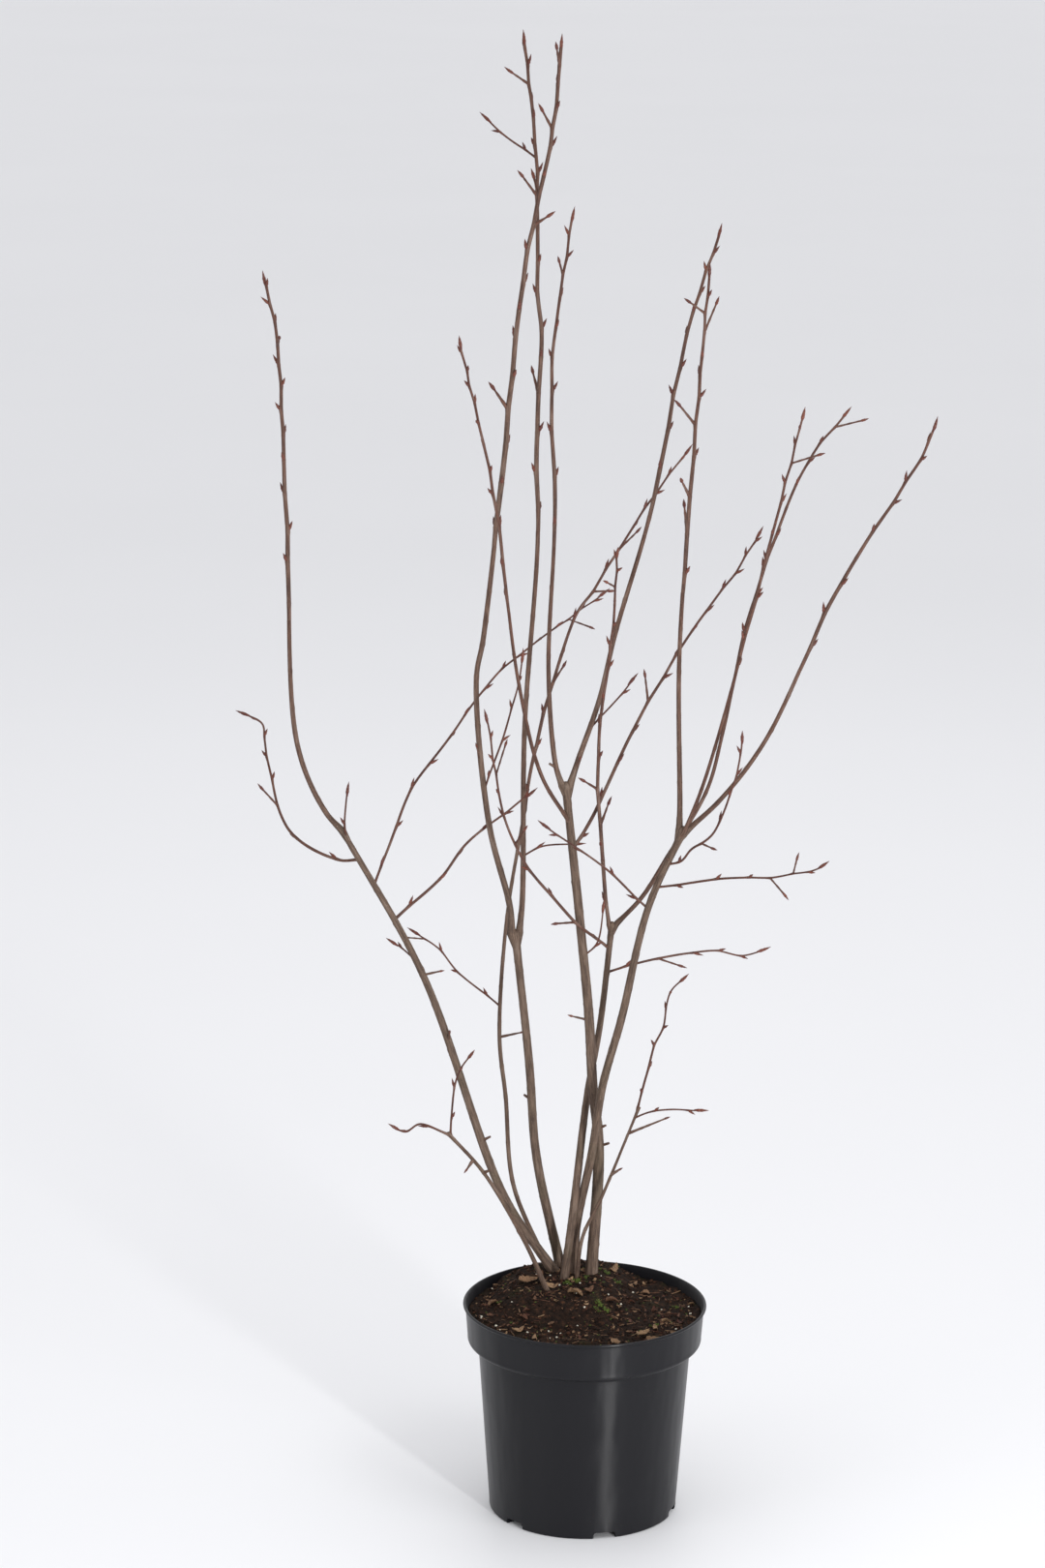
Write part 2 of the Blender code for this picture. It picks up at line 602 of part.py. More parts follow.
def fuse(item, scraps):
    """Join everything in a collection onto an item, then remove what was joined."""
    join = item.modifiers.new("Fuse", "BOOLEAN")
    join.operation = "UNION"
    join.operand_type = "COLLECTION"
    join.collection = scraps
    join.solver = "EXACT"
    bpy.context.view_layer.objects.active = item
    bpy.ops.object.modifier_apply(modifier=join.name)
    for scrap in list(scraps.objects):
        bpy.data.objects.remove(scrap, do_unlink=True)


def main():
    clear_scene()
    plant = new_collection("potted_juneberry")
    cutters = new_collection("cutters")
    make_pot(plant, cutters)
    make_soil(plant)
    limbs = lay_out_limbs()
    scraps = new_collection("buds_and_spurs")
    for name, limb in limbs.items():
        if name.startswith("twigs_"):
            make_mass(name, limb, limbs, plant, scraps)
        else:
            make_limb(name, limb, plant)
    bpy.data.collections.remove(scraps)


main()
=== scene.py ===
# %% [markdown]
# # A potted juneberry in winter
# The plant stands bare in a black nursery pot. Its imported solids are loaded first, as a fixed frame.
# Every finer piece below takes the place of solids, on the same routes, so the looks can't drift away
# from the part. Only the slender shoots are a little thicker here, and end a bud's length earlier.

# %% Load the frame
import math
import random

import bpy
import numpy as np
from mathutils import Matrix, Vector, noise


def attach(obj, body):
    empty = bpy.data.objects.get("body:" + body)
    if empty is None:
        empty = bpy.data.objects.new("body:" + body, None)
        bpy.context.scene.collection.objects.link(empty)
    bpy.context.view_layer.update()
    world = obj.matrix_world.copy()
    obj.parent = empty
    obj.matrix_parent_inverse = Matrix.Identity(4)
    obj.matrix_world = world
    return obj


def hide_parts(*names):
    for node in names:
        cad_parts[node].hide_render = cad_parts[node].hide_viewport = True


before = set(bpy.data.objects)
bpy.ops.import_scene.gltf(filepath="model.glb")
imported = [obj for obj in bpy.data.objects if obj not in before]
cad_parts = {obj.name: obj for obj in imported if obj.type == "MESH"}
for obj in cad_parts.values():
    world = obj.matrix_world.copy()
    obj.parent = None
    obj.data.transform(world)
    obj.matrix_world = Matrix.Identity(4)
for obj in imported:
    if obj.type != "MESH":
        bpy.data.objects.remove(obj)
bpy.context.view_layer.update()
MM = 0.001

# %% [markdown]
# ## A few helpers
# An operator acts on whatever is selected, and the frame arrives selected, so a helper clears the
# selection. Another keeps one object active and selected, as a click in the viewport would. The rest
# put a new mesh in the scene and let its corners carry values for the shaders.


# %% Selection helpers
def deselect():
    for item in bpy.context.selected_objects:
        item.select_set(False)


def pick(item):
    deselect()
    bpy.context.view_layer.objects.active = item
    item.select_set(True)


def settle(item):
    """Move an object's place, turn and scale into its mesh."""
    pick(item)
    bpy.ops.object.transform_apply(location=True, rotation=True, scale=True)


def bake_modifiers(item):
    pick(item)
    for modifier in list(item.modifiers):
        bpy.ops.object.modifier_apply(modifier=modifier.name)


def whole_mesh():
    bpy.ops.mesh.select_all(action="SELECT")


def new_object(name, data):
    item = bpy.data.objects.new(name, data)
    bpy.context.scene.collection.objects.link(item)
    return item


def carry(item, name, kind, values):
    """Let every corner of a mesh carry a value of its own."""
    field = "vector" if kind == "FLOAT_VECTOR" else "value"
    attribute = item.data.attributes.new(name, kind, "POINT")
    attribute.data.foreach_set(field, np.asarray(values, np.float32).ravel())


def solid_from(name, places, faces):
    """A new object from arrays of corners and faces, shaded smooth."""
    mesh = bpy.data.meshes.new(name)
    mesh.from_pydata(np.asarray(places).tolist(), [], faces)
    mesh.shade_smooth()
    return new_object(name, mesh)


# %% [markdown]
# ## Camera
# The photograph was taken from 1.9 m up, about 4.5 m in front of the pot, with a long lens that looks
# down by 14 degrees. A long lens keeps the pot's rim a flat ellipse. The picture also leans by half a
# degree, so the camera is rolled by that much.

# %% Camera
CAMERA_PLACE = (-0.0698, -4.496, 1.901)
CAMERA_DOWN = 13.93
CAMERA_ROLL = 0.466
LENS = 104.16

eye = bpy.data.cameras.new("camera")
eye.lens = LENS
eye.sensor_width = 36.0
eye.clip_end = 200.0
camera = new_object("camera", eye)
tilt = Matrix.Rotation(math.radians(90 - CAMERA_DOWN), 4, "X")
roll = Matrix.Rotation(math.radians(CAMERA_ROLL), 4, "Z")
camera.matrix_world = Matrix.Translation(CAMERA_PLACE) @ tilt @ roll
bpy.context.scene.camera = camera
print("camera at", CAMERA_PLACE, "lens", LENS)

# %% [markdown]
# ## Floor and light
# A white studio sweep has no corner, so one wide pale plane is enough. A bright even world gives the
# soft fill. A slim upright lamp at the right draws the long highlight on the pot. The key lamp stands
# higher on that side, a weaker one at the left keeps the bark from going black, and one shines from
# behind. The plain view transform keeps white paper white and black plastic black, as photographed.

# %% Floor
FLOOR_SIZE = 90.0

deselect()
bpy.ops.mesh.primitive_plane_add(size=FLOOR_SIZE, location=(0, 0, 0))
floor = bpy.context.object
floor.name = "floor"


# %% Lamps
def soft_lamp(name, place, aim, size, power):
    lamp = bpy.data.lights.new(name, "AREA")
    lamp.shape = "RECTANGLE"
    lamp.size, lamp.size_y = size
    lamp.energy = power
    item = new_object(name, lamp)
    facing = Vector(aim) - Vector(place)
    item.matrix_world = Matrix.Translation(place) @ facing.to_track_quat("-Z", "Y").to_matrix().to_4x4()


soft_lamp("strip_lamp", (1.12, -2.3, 0.55), (0, 0, 0.3), (0.12, 1.0), 44)
soft_lamp("key_lamp", (1.6, -1.6, 3.0), (0, 0, 0.6), (1.2, 1.2), 17)
soft_lamp("fill_lamp", (-2.6, -1.8, 2.2), (0, 0, 0.7), (1.4, 1.8), 10)
soft_lamp("back_lamp", (0.4, 3.0, 3.0), (0, 0, 0.8), (2.4, 1.2), 14)

SKY_COLOUR = (0.95, 0.95, 0.97, 1.0)
SKY_STRENGTH = 0.9

bpy.context.scene.view_settings.view_transform = "Standard"
world = bpy.data.worlds.new("studio")
bpy.context.scene.world = world
world.use_nodes = True
sky = world.node_tree.nodes["Background"].inputs
sky["Color"].default_value = SKY_COLOUR
sky["Strength"].default_value = SKY_STRENGTH
print("lamps and sky are set")

# %% [markdown]
# ## Writing shader maths as sums
# Wiring Math nodes by hand hides what they work out. A small class holds a socket and turns +, - and *
# into nodes, so a mask reads like the formula that it is.


# %% Shader arithmetic
class Value:
    """A shader socket that takes part in plain arithmetic."""

    def __init__(self, finish, socket):
        self.finish, self.socket = finish, socket

    def maths(self, operation, first, second):
        return self.finish.node("ShaderNodeMath", {"operation": operation}, {0: first, 1: second})

    def __add__(self, other):
        return self.maths("ADD", self, other)

    def __sub__(self, other):
        return self.maths("SUBTRACT", self, other)

    def __rsub__(self, other):
        return self.maths("SUBTRACT", other, self)

    def __mul__(self, other):
        return self.maths("MULTIPLY", self, other)

    __radd__ = __add__
    __rmul__ = __mul__

    def ramp(self, low, high):
        """0 below low, 1 above high, smooth between."""
        return self.finish.node(
            "ShaderNodeMapRange", {"interpolation_type": "SMOOTHSTEP"}, {0: self, 1: low, 2: high})


# %% Finishes
class Finish:
    """One material, its shader, and a method that adds any node."""

    def __init__(self, name, roughness, specular=0.5):
        self.material = bpy.data.materials.new(name)
        self.material.use_nodes = True
        self.tree = self.material.node_tree
        self.shader = self.tree.nodes["Principled BSDF"]
        self.shader.inputs["Roughness"].default_value = roughness
        self.shader.inputs["Specular IOR Level"].default_value = specular

    def node(self, kind, settings=None, inputs=None, output=0):
        made = self.tree.nodes.new(kind)
        for key, value in (settings or {}).items():
            setattr(made, key, value)
        for key, value in (inputs or {}).items():
            if isinstance(value, Value):
                self.tree.links.new(value.socket, made.inputs[key])
            else:
                made.inputs[key].default_value = value
        return Value(self, made.outputs[output])

    def place(self, scale=(1, 1, 1)):
        """The place on the object in metres, stretched by scale."""
        spot = self.node("ShaderNodeTexCoord", output="Object")
        return self.node("ShaderNodeMapping", {}, {"Vector": spot, "Scale": scale})

    def own(self, attribute, scale=None, output="Vector"):
        """A value that the mesh carries itself."""
        spot = self.node("ShaderNodeAttribute", {"attribute_name": attribute}, output=output)
        if scale is None:
            return spot
        return self.node("ShaderNodeMapping", {}, {"Vector": spot, "Scale": scale})

    def noise(self, spot, scale, detail=3.0, rough=0.55):
        return self.node("ShaderNodeTexNoise", {}, {
            "Vector": spot, "Scale": scale, "Detail": detail, "Roughness": rough})

    def axis(self, vector, letter):
        return self.node("ShaderNodeSeparateXYZ", {}, {0: vector}, output=letter)

    def cells(self, spot, scale):
        return self.node("ShaderNodeTexVoronoi", {}, {"Vector": spot, "Scale": scale}, output="Distance")

    def mix(self, share, first, second):
        return self.node("ShaderNodeMix", {"data_type": "RGBA"}, {0: share, 6: first, 7: second}, output=2)

    def link(self, name, value):
        self.tree.links.new(value.socket, self.shader.inputs[name])

    def bump(self, height, depth):
        self.link("Normal", self.node("ShaderNodeBump", {}, {"Height": height, "Distance": depth}))


def rgb(red, green, blue):
    return (red, green, blue, 1.0)


def dress(item, finish, slot=None, *nodes):
    """Give a piece its finish, let it ride with the plant and stand for its nodes."""
    item.data.materials.clear()
    item.data.materials.append(finish.material)
    if slot:
        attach(item, "root")
    if nodes:
        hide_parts(*nodes)


# %% [markdown]
# The floor is one pale colour. A breath of noise in it keeps so large a plane from looking dead.

# %% Floor finish
pale = Finish("pale_floor", 0.55)
PALE_LOW, PALE_HIGH = rgb(0.83, 0.835, 0.85), rgb(0.86, 0.865, 0.88)
pale.link("Base Color", pale.mix(pale.noise(pale.place(), 0.8), PALE_LOW, PALE_HIGH))
dress(floor, pale)
print("floor finish:", pale.material.name)

# %% [markdown]
# ## The pot
# A nursery pot is moulded in one thin wall: a rolled rim, a stiff collar, a shoulder where the pots
# nest, and a tapering body. It is round, so one profile is drawn in edit mode by extruding a vertex
# from point to point, and then spun round the upright axis.

# %% Pot sizes
POT_HEIGHT = 225.6
RIM_RADIUS = 127.9
RIM_ROLL = 3.0
COLLAR_TOP_RADIUS = 125.2
COLLAR_FOOT_RADIUS = 122.8
COLLAR_DEPTH = 36.0
SHOULDER_DEPTH = 46.0
BODY_TOP_RADIUS = 111.5
BODY_FOOT_RADIUS = 99.0
WALL = 2.0
NOTCHES = 6
NOTCH_WIDTH = 24.0
NOTCH_HEIGHT = 7.5
NOTCH_ROUND = 3.2
NOTCH_TURN = 13.0
CHANNEL_OUTER = 79.0
CHANNEL_INNER = 48.0
FLOOR_THICK = 2.5
FOOT_ROUND = 2.6
SPIN_STEPS = 160


def arc(middle_radius, middle_height, radius, start, end, steps):
    """Points of a round edge, as radius from the axis and height, by degrees from outward to up."""
    turns = np.radians(np.linspace(start, end, steps))
    return [(middle_radius + radius * math.cos(turn), middle_height + radius * math.sin(turn))
            for turn in turns]


# %% Pot profile
rim_middle = (RIM_RADIUS - RIM_ROLL / 2, POT_HEIGHT - RIM_ROLL / 2)
outside = arc(*rim_middle, RIM_ROLL / 2, 170, -70, 11)
outside += [(COLLAR_TOP_RADIUS + 0.3, POT_HEIGHT - 4.2), (COLLAR_TOP_RADIUS, POT_HEIGHT - 6.0)]
outside += [(COLLAR_FOOT_RADIUS + 0.3, POT_HEIGHT - COLLAR_DEPTH + 2.5)]
outside += arc(COLLAR_FOOT_RADIUS - 5.0, POT_HEIGHT - COLLAR_DEPTH - 1.0, 5.2, 10, -62, 7)
outside += arc(BODY_TOP_RADIUS + 2.6, POT_HEIGHT - SHOULDER_DEPTH - 1.2, 2.4, 120, 178, 5)
outside += [(BODY_TOP_RADIUS - 0.4, POT_HEIGHT - SHOULDER_DEPTH - 6.0), (BODY_FOOT_RADIUS, 6.0)]
outside += arc(BODY_FOOT_RADIUS - FOOT_ROUND, FOOT_ROUND, FOOT_ROUND, 0, -86, 6)
underside = [(CHANNEL_OUTER, 0.0), (CHANNEL_OUTER, NOTCH_HEIGHT),
             (CHANNEL_INNER + FLOOR_THICK, NOTCH_HEIGHT), (CHANNEL_INNER + FLOOR_THICK, 0.0), (0.0, 0.0)]
inside = [(0.0, FLOOR_THICK), (CHANNEL_INNER - 2.0, FLOOR_THICK), (CHANNEL_INNER, NOTCH_HEIGHT + FLOOR_THICK),
          (BODY_FOOT_RADIUS - WALL, NOTCH_HEIGHT + FLOOR_THICK),
          (BODY_TOP_RADIUS - WALL, POT_HEIGHT - SHOULDER_DEPTH - 1.0),
          (BODY_TOP_RADIUS + 1.0, POT_HEIGHT - SHOULDER_DEPTH + 4.0),
          (COLLAR_FOOT_RADIUS - WALL - 1.2, POT_HEIGHT - COLLAR_DEPTH - 3.0),
          (COLLAR_FOOT_RADIUS - WALL, POT_HEIGHT - COLLAR_DEPTH + 2.0),
          (COLLAR_TOP_RADIUS - WALL, POT_HEIGHT - RIM_ROLL - 1.0)]
profile = inside + outside + underside
print("pot profile has", len(profile), "points")

# %% Pot by spinning
deselect()
bpy.ops.mesh.primitive_plane_add(size=0.01, location=(0, 0, 0))
pot = bpy.context.object
pot.name = "nursery_pot"
bpy.ops.object.mode_set(mode="EDIT")
whole_mesh()
bpy.ops.mesh.merge(type="CENTER")
previous = (0.0, 0.0)
for radius, up in profile:
    step = ((radius - previous[0]) * MM, 0, (up - previous[1]) * MM)
    bpy.ops.mesh.extrude_region_move(TRANSFORM_OT_translate={"value": step})
    previous = (radius, up)
whole_mesh()
bpy.ops.mesh.remove_doubles(threshold=0.00001)
whole_mesh()
bpy.ops.mesh.spin(steps=SPIN_STEPS, angle=math.tau, center=(0, 0, 0), axis=(0, 0, 1))
whole_mesh()
bpy.ops.mesh.remove_doubles(threshold=0.00002)
whole_mesh()
bpy.ops.mesh.normals_make_consistent(inside=False)
bpy.ops.object.mode_set(mode="OBJECT")
print("pot spun to", len(pot.data.polygons), "faces")

# %% [markdown]
# Six notches part the feet, so water drains from the channel underneath. Each is cut by a block with
# rounded top corners, modelled once, copied round and taken away by a Boolean.

# %% Pot notches
deselect()
reach = (CHANNEL_OUTER + BODY_FOOT_RADIUS + 8) / 2
bpy.ops.mesh.primitive_cube_add(size=1, location=(0, -reach * MM, 0))
block = bpy.context.object
block.scale = (NOTCH_WIDTH * MM, (BODY_FOOT_RADIUS + 12 - CHANNEL_OUTER) * MM, 2 * (NOTCH_HEIGHT - 0.5) * MM)
settle(block)
bpy.ops.object.mode_set(mode="EDIT")
bpy.ops.mesh.select_all(action="DESELECT")
bpy.ops.object.mode_set(mode="OBJECT")
for edge in block.data.edges:
    ends = [block.data.vertices[k].co for k in edge.vertices]
    edge.select = all(end.z > 0 for end in ends) and abs(ends[0].x - ends[1].x) < 0.001
bpy.ops.object.mode_set(mode="EDIT")
bpy.ops.mesh.bevel(offset=NOTCH_ROUND * MM, segments=5)
bpy.ops.object.mode_set(mode="OBJECT")
for k in range(NOTCHES):
    cutter = block.copy()
    cutter.data = block.data.copy()
    bpy.context.scene.collection.objects.link(cutter)
    cutter.matrix_world = Matrix.Rotation(math.radians(360 / NOTCHES * k + NOTCH_TURN), 4, "Z")
    settle(cutter)
    cut = pot.modifiers.new("notch", "BOOLEAN")
    cut.object = cutter
    bake_modifiers(pot)
    bpy.data.objects.remove(cutter, do_unlink=True)
bpy.data.objects.remove(block, do_unlink=True)
pick(pot)
bpy.ops.object.shade_smooth_by_angle(angle=math.radians(32))
print("pot with notches has", len(pot.data.polygons), "faces")

# %% [markdown]
# The plastic is a satin black. Polishing marks of the mould run round it, finer than the eye can part,
# and stretch each highlight into an upright streak, which the shader's own stretch setting gives. A
# broad soft ripple makes that streak waver, and a little dust dulls the gloss in clouds.

# %% Pot finish
plastic = Finish("satin_black_plastic", 0.3, specular=0.24)
plastic.shader.inputs["Anisotropic"].default_value = 0.9
plastic.shader.inputs["Anisotropic Rotation"].default_value = 0.25
cloud = plastic.noise(plastic.place(), 16.0, 3.0)
wave = plastic.noise(plastic.place((26, 26, 9)), 1.0, 2.0)
speck = plastic.cells(plastic.place(), 300.0).ramp(0.16, 0.08)
speck = speck * plastic.noise(plastic.place(), 30.0).ramp(0.58, 0.70)
dust = (cloud * 0.6 + wave * 0.4).ramp(0.52, 0.75)
black = plastic.mix(dust * 0.4, rgb(0.0060, 0.0060, 0.0078), rgb(0.013, 0.013, 0.015))
plastic.link("Base Color", plastic.mix(speck * 0.4, black, rgb(0.060, 0.050, 0.042)))
plastic.link("Roughness", dust * 0.10 + speck * 0.2 + 0.36)
plastic.bump(wave, 0.0016)
dress(pot, plastic, "pot_plastic", "pot")

# %% [markdown]
# ## The limbs' routes
# Each stem and shoot follows a few points, in millimetres from the middle of the pot's underside:
# across, depth and up. They are the part's own, because the looks grow on the same skeleton.
# A stem's row gives its thickness low and high, the flare at its foot, the swelling at its head and its
# route. A shoot's row gives the limb it grows from, its thickness at both ends, the share of it that is
# a bough and its route, and for a side shoot the height at which it leaves.

# %% Stems' routes
CROWN_TOP = 232.0
GAP = 0.3


def stem(thick, foot, head, *route):
    return dict(thick=thick, foot=foot, head=head, route=list(route))


def shoot(on, thick, bough, *route, at=None):
    return dict(on=on, at=at, thick=thick, bough=bough, route=list(route))


STEMS = {
    "stem_left": stem((10.0, 6.0), 3.0, 0.3, (-33, 79, 232), (-86, 71, 318), (-172, 51, 567),
        (-255, 36, 725)),
    "stem_low_left": stem((5.0, 3.4), 1.2, 2.2, (-40, 19, 232), (-62, 12, 285), (-107, 2, 367),
        (-144, -5, 412)),
    "stem_sweeping": stem((5.0, 3.6), 1.2, 0.3, (-40, 98, 232), (-76, 106, 318), (-85, 112, 415),
        (-92, 116, 480), (-85, 133, 608), (-67, 150, 721)),
    "stem_tall": stem((10.2, 8.0), 2.5, 5.6, (-25, 92, 232), (-52, 87, 358), (-60, 82, 458),
        (-76, 76, 606)),
    "stem_middle": stem((12.4, 8.0), 2.0, 6.0, (8, 70, 232), (14, 74, 373), (7, 73, 440), (1, 69, 528),
        (-25, 50, 772)),
    "stem_inner": stem((9.0, 5.8), 1.5, 4.4, (-21, 54, 232), (-12, 57, 310), (2, 90, 428), (14, 94, 500),
        (25, 77, 616)),
    "stem_right": stem((9.2, 7.2), 1.5, 7.6, (-10, 71, 232), (-9, 71, 280), (6, 62, 366), (17, 52, 447),
        (36, 45, 525), (62, 32, 649), (96, 20, 733)),
    "stem_low_right": stem((4.0, 2.6), 0.8, 2.4, (-8, 55, 232), (-2, 52, 280), (16, 50, 321),
        (55, 40, 427)),
}
print("stems:", len(STEMS))

# %% Shoots' routes
SHOOTS = {
    "left": shoot("stem_left", (5.7, 2.2), 0.4, (-255, 36, 725), (-273, 30, 748), (-300, 13, 821),
        (-307, -39, 1052), (-314, -99, 1264), (-325, -115, 1320)),
    "sweeping": shoot("stem_sweeping", (3.5, 1.6), 0.0, (-67, 150, 721), (-57, 159, 784), (-15, 185, 923),
        (4, 195, 950), (63, 228, 1039), (105, 246, 1093)),
    "tall_left": shoot("stem_tall", (6.7, 2.8), 0.45, (-80, 75, 606), (-82, 73, 636), (-104, 64, 726),
        (-118, 42, 885), (-111, 29, 931), (-93, -21, 1105), (-72, -75, 1320), (-45, -107, 1466),
        (-38, -125, 1550)),
    "tall_right": shoot("stem_tall", (6.0, 2.6), 0.45, (-72, 78, 606), (-69, 82, 640), (-68, 112, 819),
        (-56, 146, 1009), (-58, 165, 1116), (-54, 181, 1217), (-58, 189, 1266), (-61, 210, 1403),
        (-75, 230, 1526)),
    "middle_left": shoot("stem_middle", (5.4, 2.0), 0.42, (-29, 49, 772), (-36, 50, 795), (-44, 57, 891),
        (-39, 68, 1050), (-43, 82, 1206), (-23, 95, 1360)),
    "middle_right": shoot("stem_middle", (6.0, 2.3), 0.45, (-21, 51, 772), (-12, 54, 800), (9, 60, 862),
        (24, 74, 926), (60, 110, 1048), (97, 160, 1228), (131, 190, 1333)),
    "middle_front": shoot("stem_middle", (4.3, 1.7), 0.45, (-50, 20, 789), (-74, -30, 895),
        (-100, -139, 1110), (-133, -245, 1278), at=733),
    "middle_low": shoot("stem_middle", (3.5, 1.6), 0.0, (6, 74, 738), (43, 105, 815), (109, 137, 923),
        (152, 165, 976), (179, 185, 1017), at=704),
    "inner_left": shoot("stem_inner", (3.8, 1.7), 0.0, (22, 76, 616), (17, 73, 660), (8, 54, 804),
        (21, 18, 948), (23, -45, 1039)),
    "inner_right": shoot("stem_inner", (4.8, 1.9), 0.46, (29, 77, 616), (56, 77, 646), (82, 77, 690),
        (122, 83, 760), (138, 95, 819), (158, 122, 910), (176, 140, 971), (225, 195, 1085),
        (270, 225, 1138)),
    "right_upright": shoot("stem_right", (5.6, 2.0), 0.42, (92, 22, 733), (92, 18, 760), (88, -5, 918),
        (95, -50, 1100), (107, -130, 1334)),
    "right_front": shoot("stem_right", (3.9, 1.7), 0.42, (97, 15, 733), (114, 6, 782), (140, -27, 891),
        (200, -150, 1197)),
    "right_outer": shoot("stem_right", (5.2, 2.0), 0.42, (100, 21, 733), (134, 12, 769), (177, 0, 833),
        (247, -30, 1001), (325, -54, 1140), (337, -60, 1174)),
    "low_left_tip": shoot("stem_low_left", (2.5, 1.4), 0.0, (-145, -6, 412), (-173, -26, 429),
        (-187, -38, 424), (-202, -50, 435)),
    "low_left_upright": shoot("stem_low_left", (2.2, 1.3), 0.0, (-142, -4, 412), (-141, -14, 436),
        (-132, -45, 493), (-118, -60, 518)),
    "low_right_tip": shoot("stem_low_right", (2.4, 1.3), 0.0, (54, 41, 427), (69, -2, 507),
        (77, -17, 533), (84, -41, 579), (99, -55, 599)),
    "low_right_side": shoot("stem_low_right", (1.9, 1.2), 0.0, (66, 34, 424), (90, 24, 431),
        (123, 5, 436), at=416),
    "left_curl": shoot("stem_left", (3.0, 1.5), 0.0, (-261, 48, 691), (-313, 75, 717), (-340, 116, 802),
        (-343, 124, 818), (-367, 135, 828), at=694),
    "left_spur": shoot("stem_left", (2.2, 1.3), 0.0, (-252, 27, 736), (-249, 20, 778), at=716),
    "left_long": shoot("stem_left", (2.6, 1.3), 0.0, (-211, 56, 696), (-185, 87, 758), (-145, 115, 809),
        (-99, 146, 866), (18, 225, 942), at=666),
    "left_inward": shoot("stem_left", (3.0, 1.5), 0.0, (-154, 63, 669), (-130, 72, 701), (-104, 80, 722),
        (-57, 84, 758), at=628),
    "left_low": shoot("stem_left", (2.0, 1.3), 0.0, (-192, 62, 590), (-208, 75, 598), at=582),
    "sweeping_low": shoot("stem_sweeping", (2.0, 1.3), 0.0, (-136, 140, 544), (-160, 153, 568),
        (-188, 165, 584), at=512),
    "tall_left_low": shoot("tall_left", (2.0, 1.3), 0.0, (-77, 40, 871), (-70, 30, 917), at=762),
    "tall_right_top": shoot("tall_right", (2.2, 1.4), 0.0, (-91, 233, 1419), (-117, 245, 1441), at=1400),
    "tall_right_low": shoot("tall_right", (2.0, 1.3), 0.0, (-48, 91, 696), (-7, 96, 698), at=687),
    "middle_spur": shoot("stem_middle", (1.9, 1.2), 0.0, (9, 58, 602), (16, 48, 648), at=584),
    "middle_right_low": shoot("middle_right", (2.0, 1.3), 0.0, (24, 66, 857), (46, 80, 882), at=828),
    "inner_outward": shoot("stem_inner", (2.4, 1.3), 0.0, (78, 94, 576), (132, 116, 577), (165, 129, 569),
        (192, 140, 573), at=562),
    "inner_forward": shoot("stem_inner", (3.0, 1.5), 0.0, (-20, 42, 635), (-78, 20, 718),
        (-108, -30, 867), at=590),
    "right_inward": shoot("stem_right", (2.3, 1.4), 0.0, (12, 36, 691), (-51, 28, 738), at=646),
    "right_hook": shoot("stem_right", (2.3, 1.4), 0.0, (94, 15, 701), (104, 2, 718), (126, -17, 741),
        (150, -60, 834), (150, -70, 857), at=694),
    "right_outward": shoot("stem_right", (2.4, 1.3), 0.0, (134, -12, 690), (194, -53, 705),
        (230, -79, 721), (236, -85, 728), at=669),
}
print("shoots:", len(SHOOTS))

# %% [markdown]
# The growth rule is the part's too. A juneberry sets its buds one by one round the shoot, each turned
# by two fifths of a circle from the last, far apart low down and close together at the tip. The seed
# and the order of the draws are the same, so each bud here sits where the solid has it.

# %% Growth rule's numbers
SEED = 41
NODE_STEP = (46.0, 17.0)
NODE_TURN = 144.0
ZIGZAG = 0.7
BUD_LENGTH = (8.0, 11.5)
BUD_RADIUS = 1.75
BUD_LEAN = (16.0, 34.0)
TIP_BUD = 1.3
SPUR_CHANCE = 0.16
SPUR_LENGTH = (14.0, 30.0)
SPUR_LEAN = (35.0, 55.0)
SPACE = 34.0
CLEARANCE = 1.5
LINE_STEP = 3.0


# %% Smooth routes
def smooth_line(route, step=LINE_STEP):
    """Centripetal curve through the route's points, read every few millimetres."""
    points = np.array(route, float)
    points = np.vstack([2 * points[0] - points[1], points, 2 * points[-1] - points[-2]])
    line = []
    for p0, p1, p2, p3 in zip(points, points[1:], points[2:], points[3:]):
        t1 = math.sqrt(np.linalg.norm(p1 - p0))
        t2 = t1 + math.sqrt(np.linalg.norm(p2 - p1))
        t3 = t2 + math.sqrt(np.linalg.norm(p3 - p2))
        count = max(2, round(np.linalg.norm(p2 - p1) / step))
        for t in np.linspace(t1, t2, count, endpoint=False):
            a1 = p0 + (p1 - p0) * t / t1
            a2 = p1 + (p2 - p1) * (t - t1) / (t2 - t1)
            a3 = p2 + (p3 - p2) * (t - t2) / (t3 - t2)
            b1 = a1 + (a2 - a1) * t / t2
            b2 = a2 + (a3 - a2) * (t - t1) / (t3 - t1)
            line.append(b1 + (b2 - b1) * (t - t1) / (t2 - t1))
    line.append(points[-2])
    return np.array(line)


def runs_along(line):
    """How far along a line each of its points lies."""
    return np.concatenate([[0.0], np.cumsum(np.linalg.norm(np.diff(line, axis=0), axis=1))])


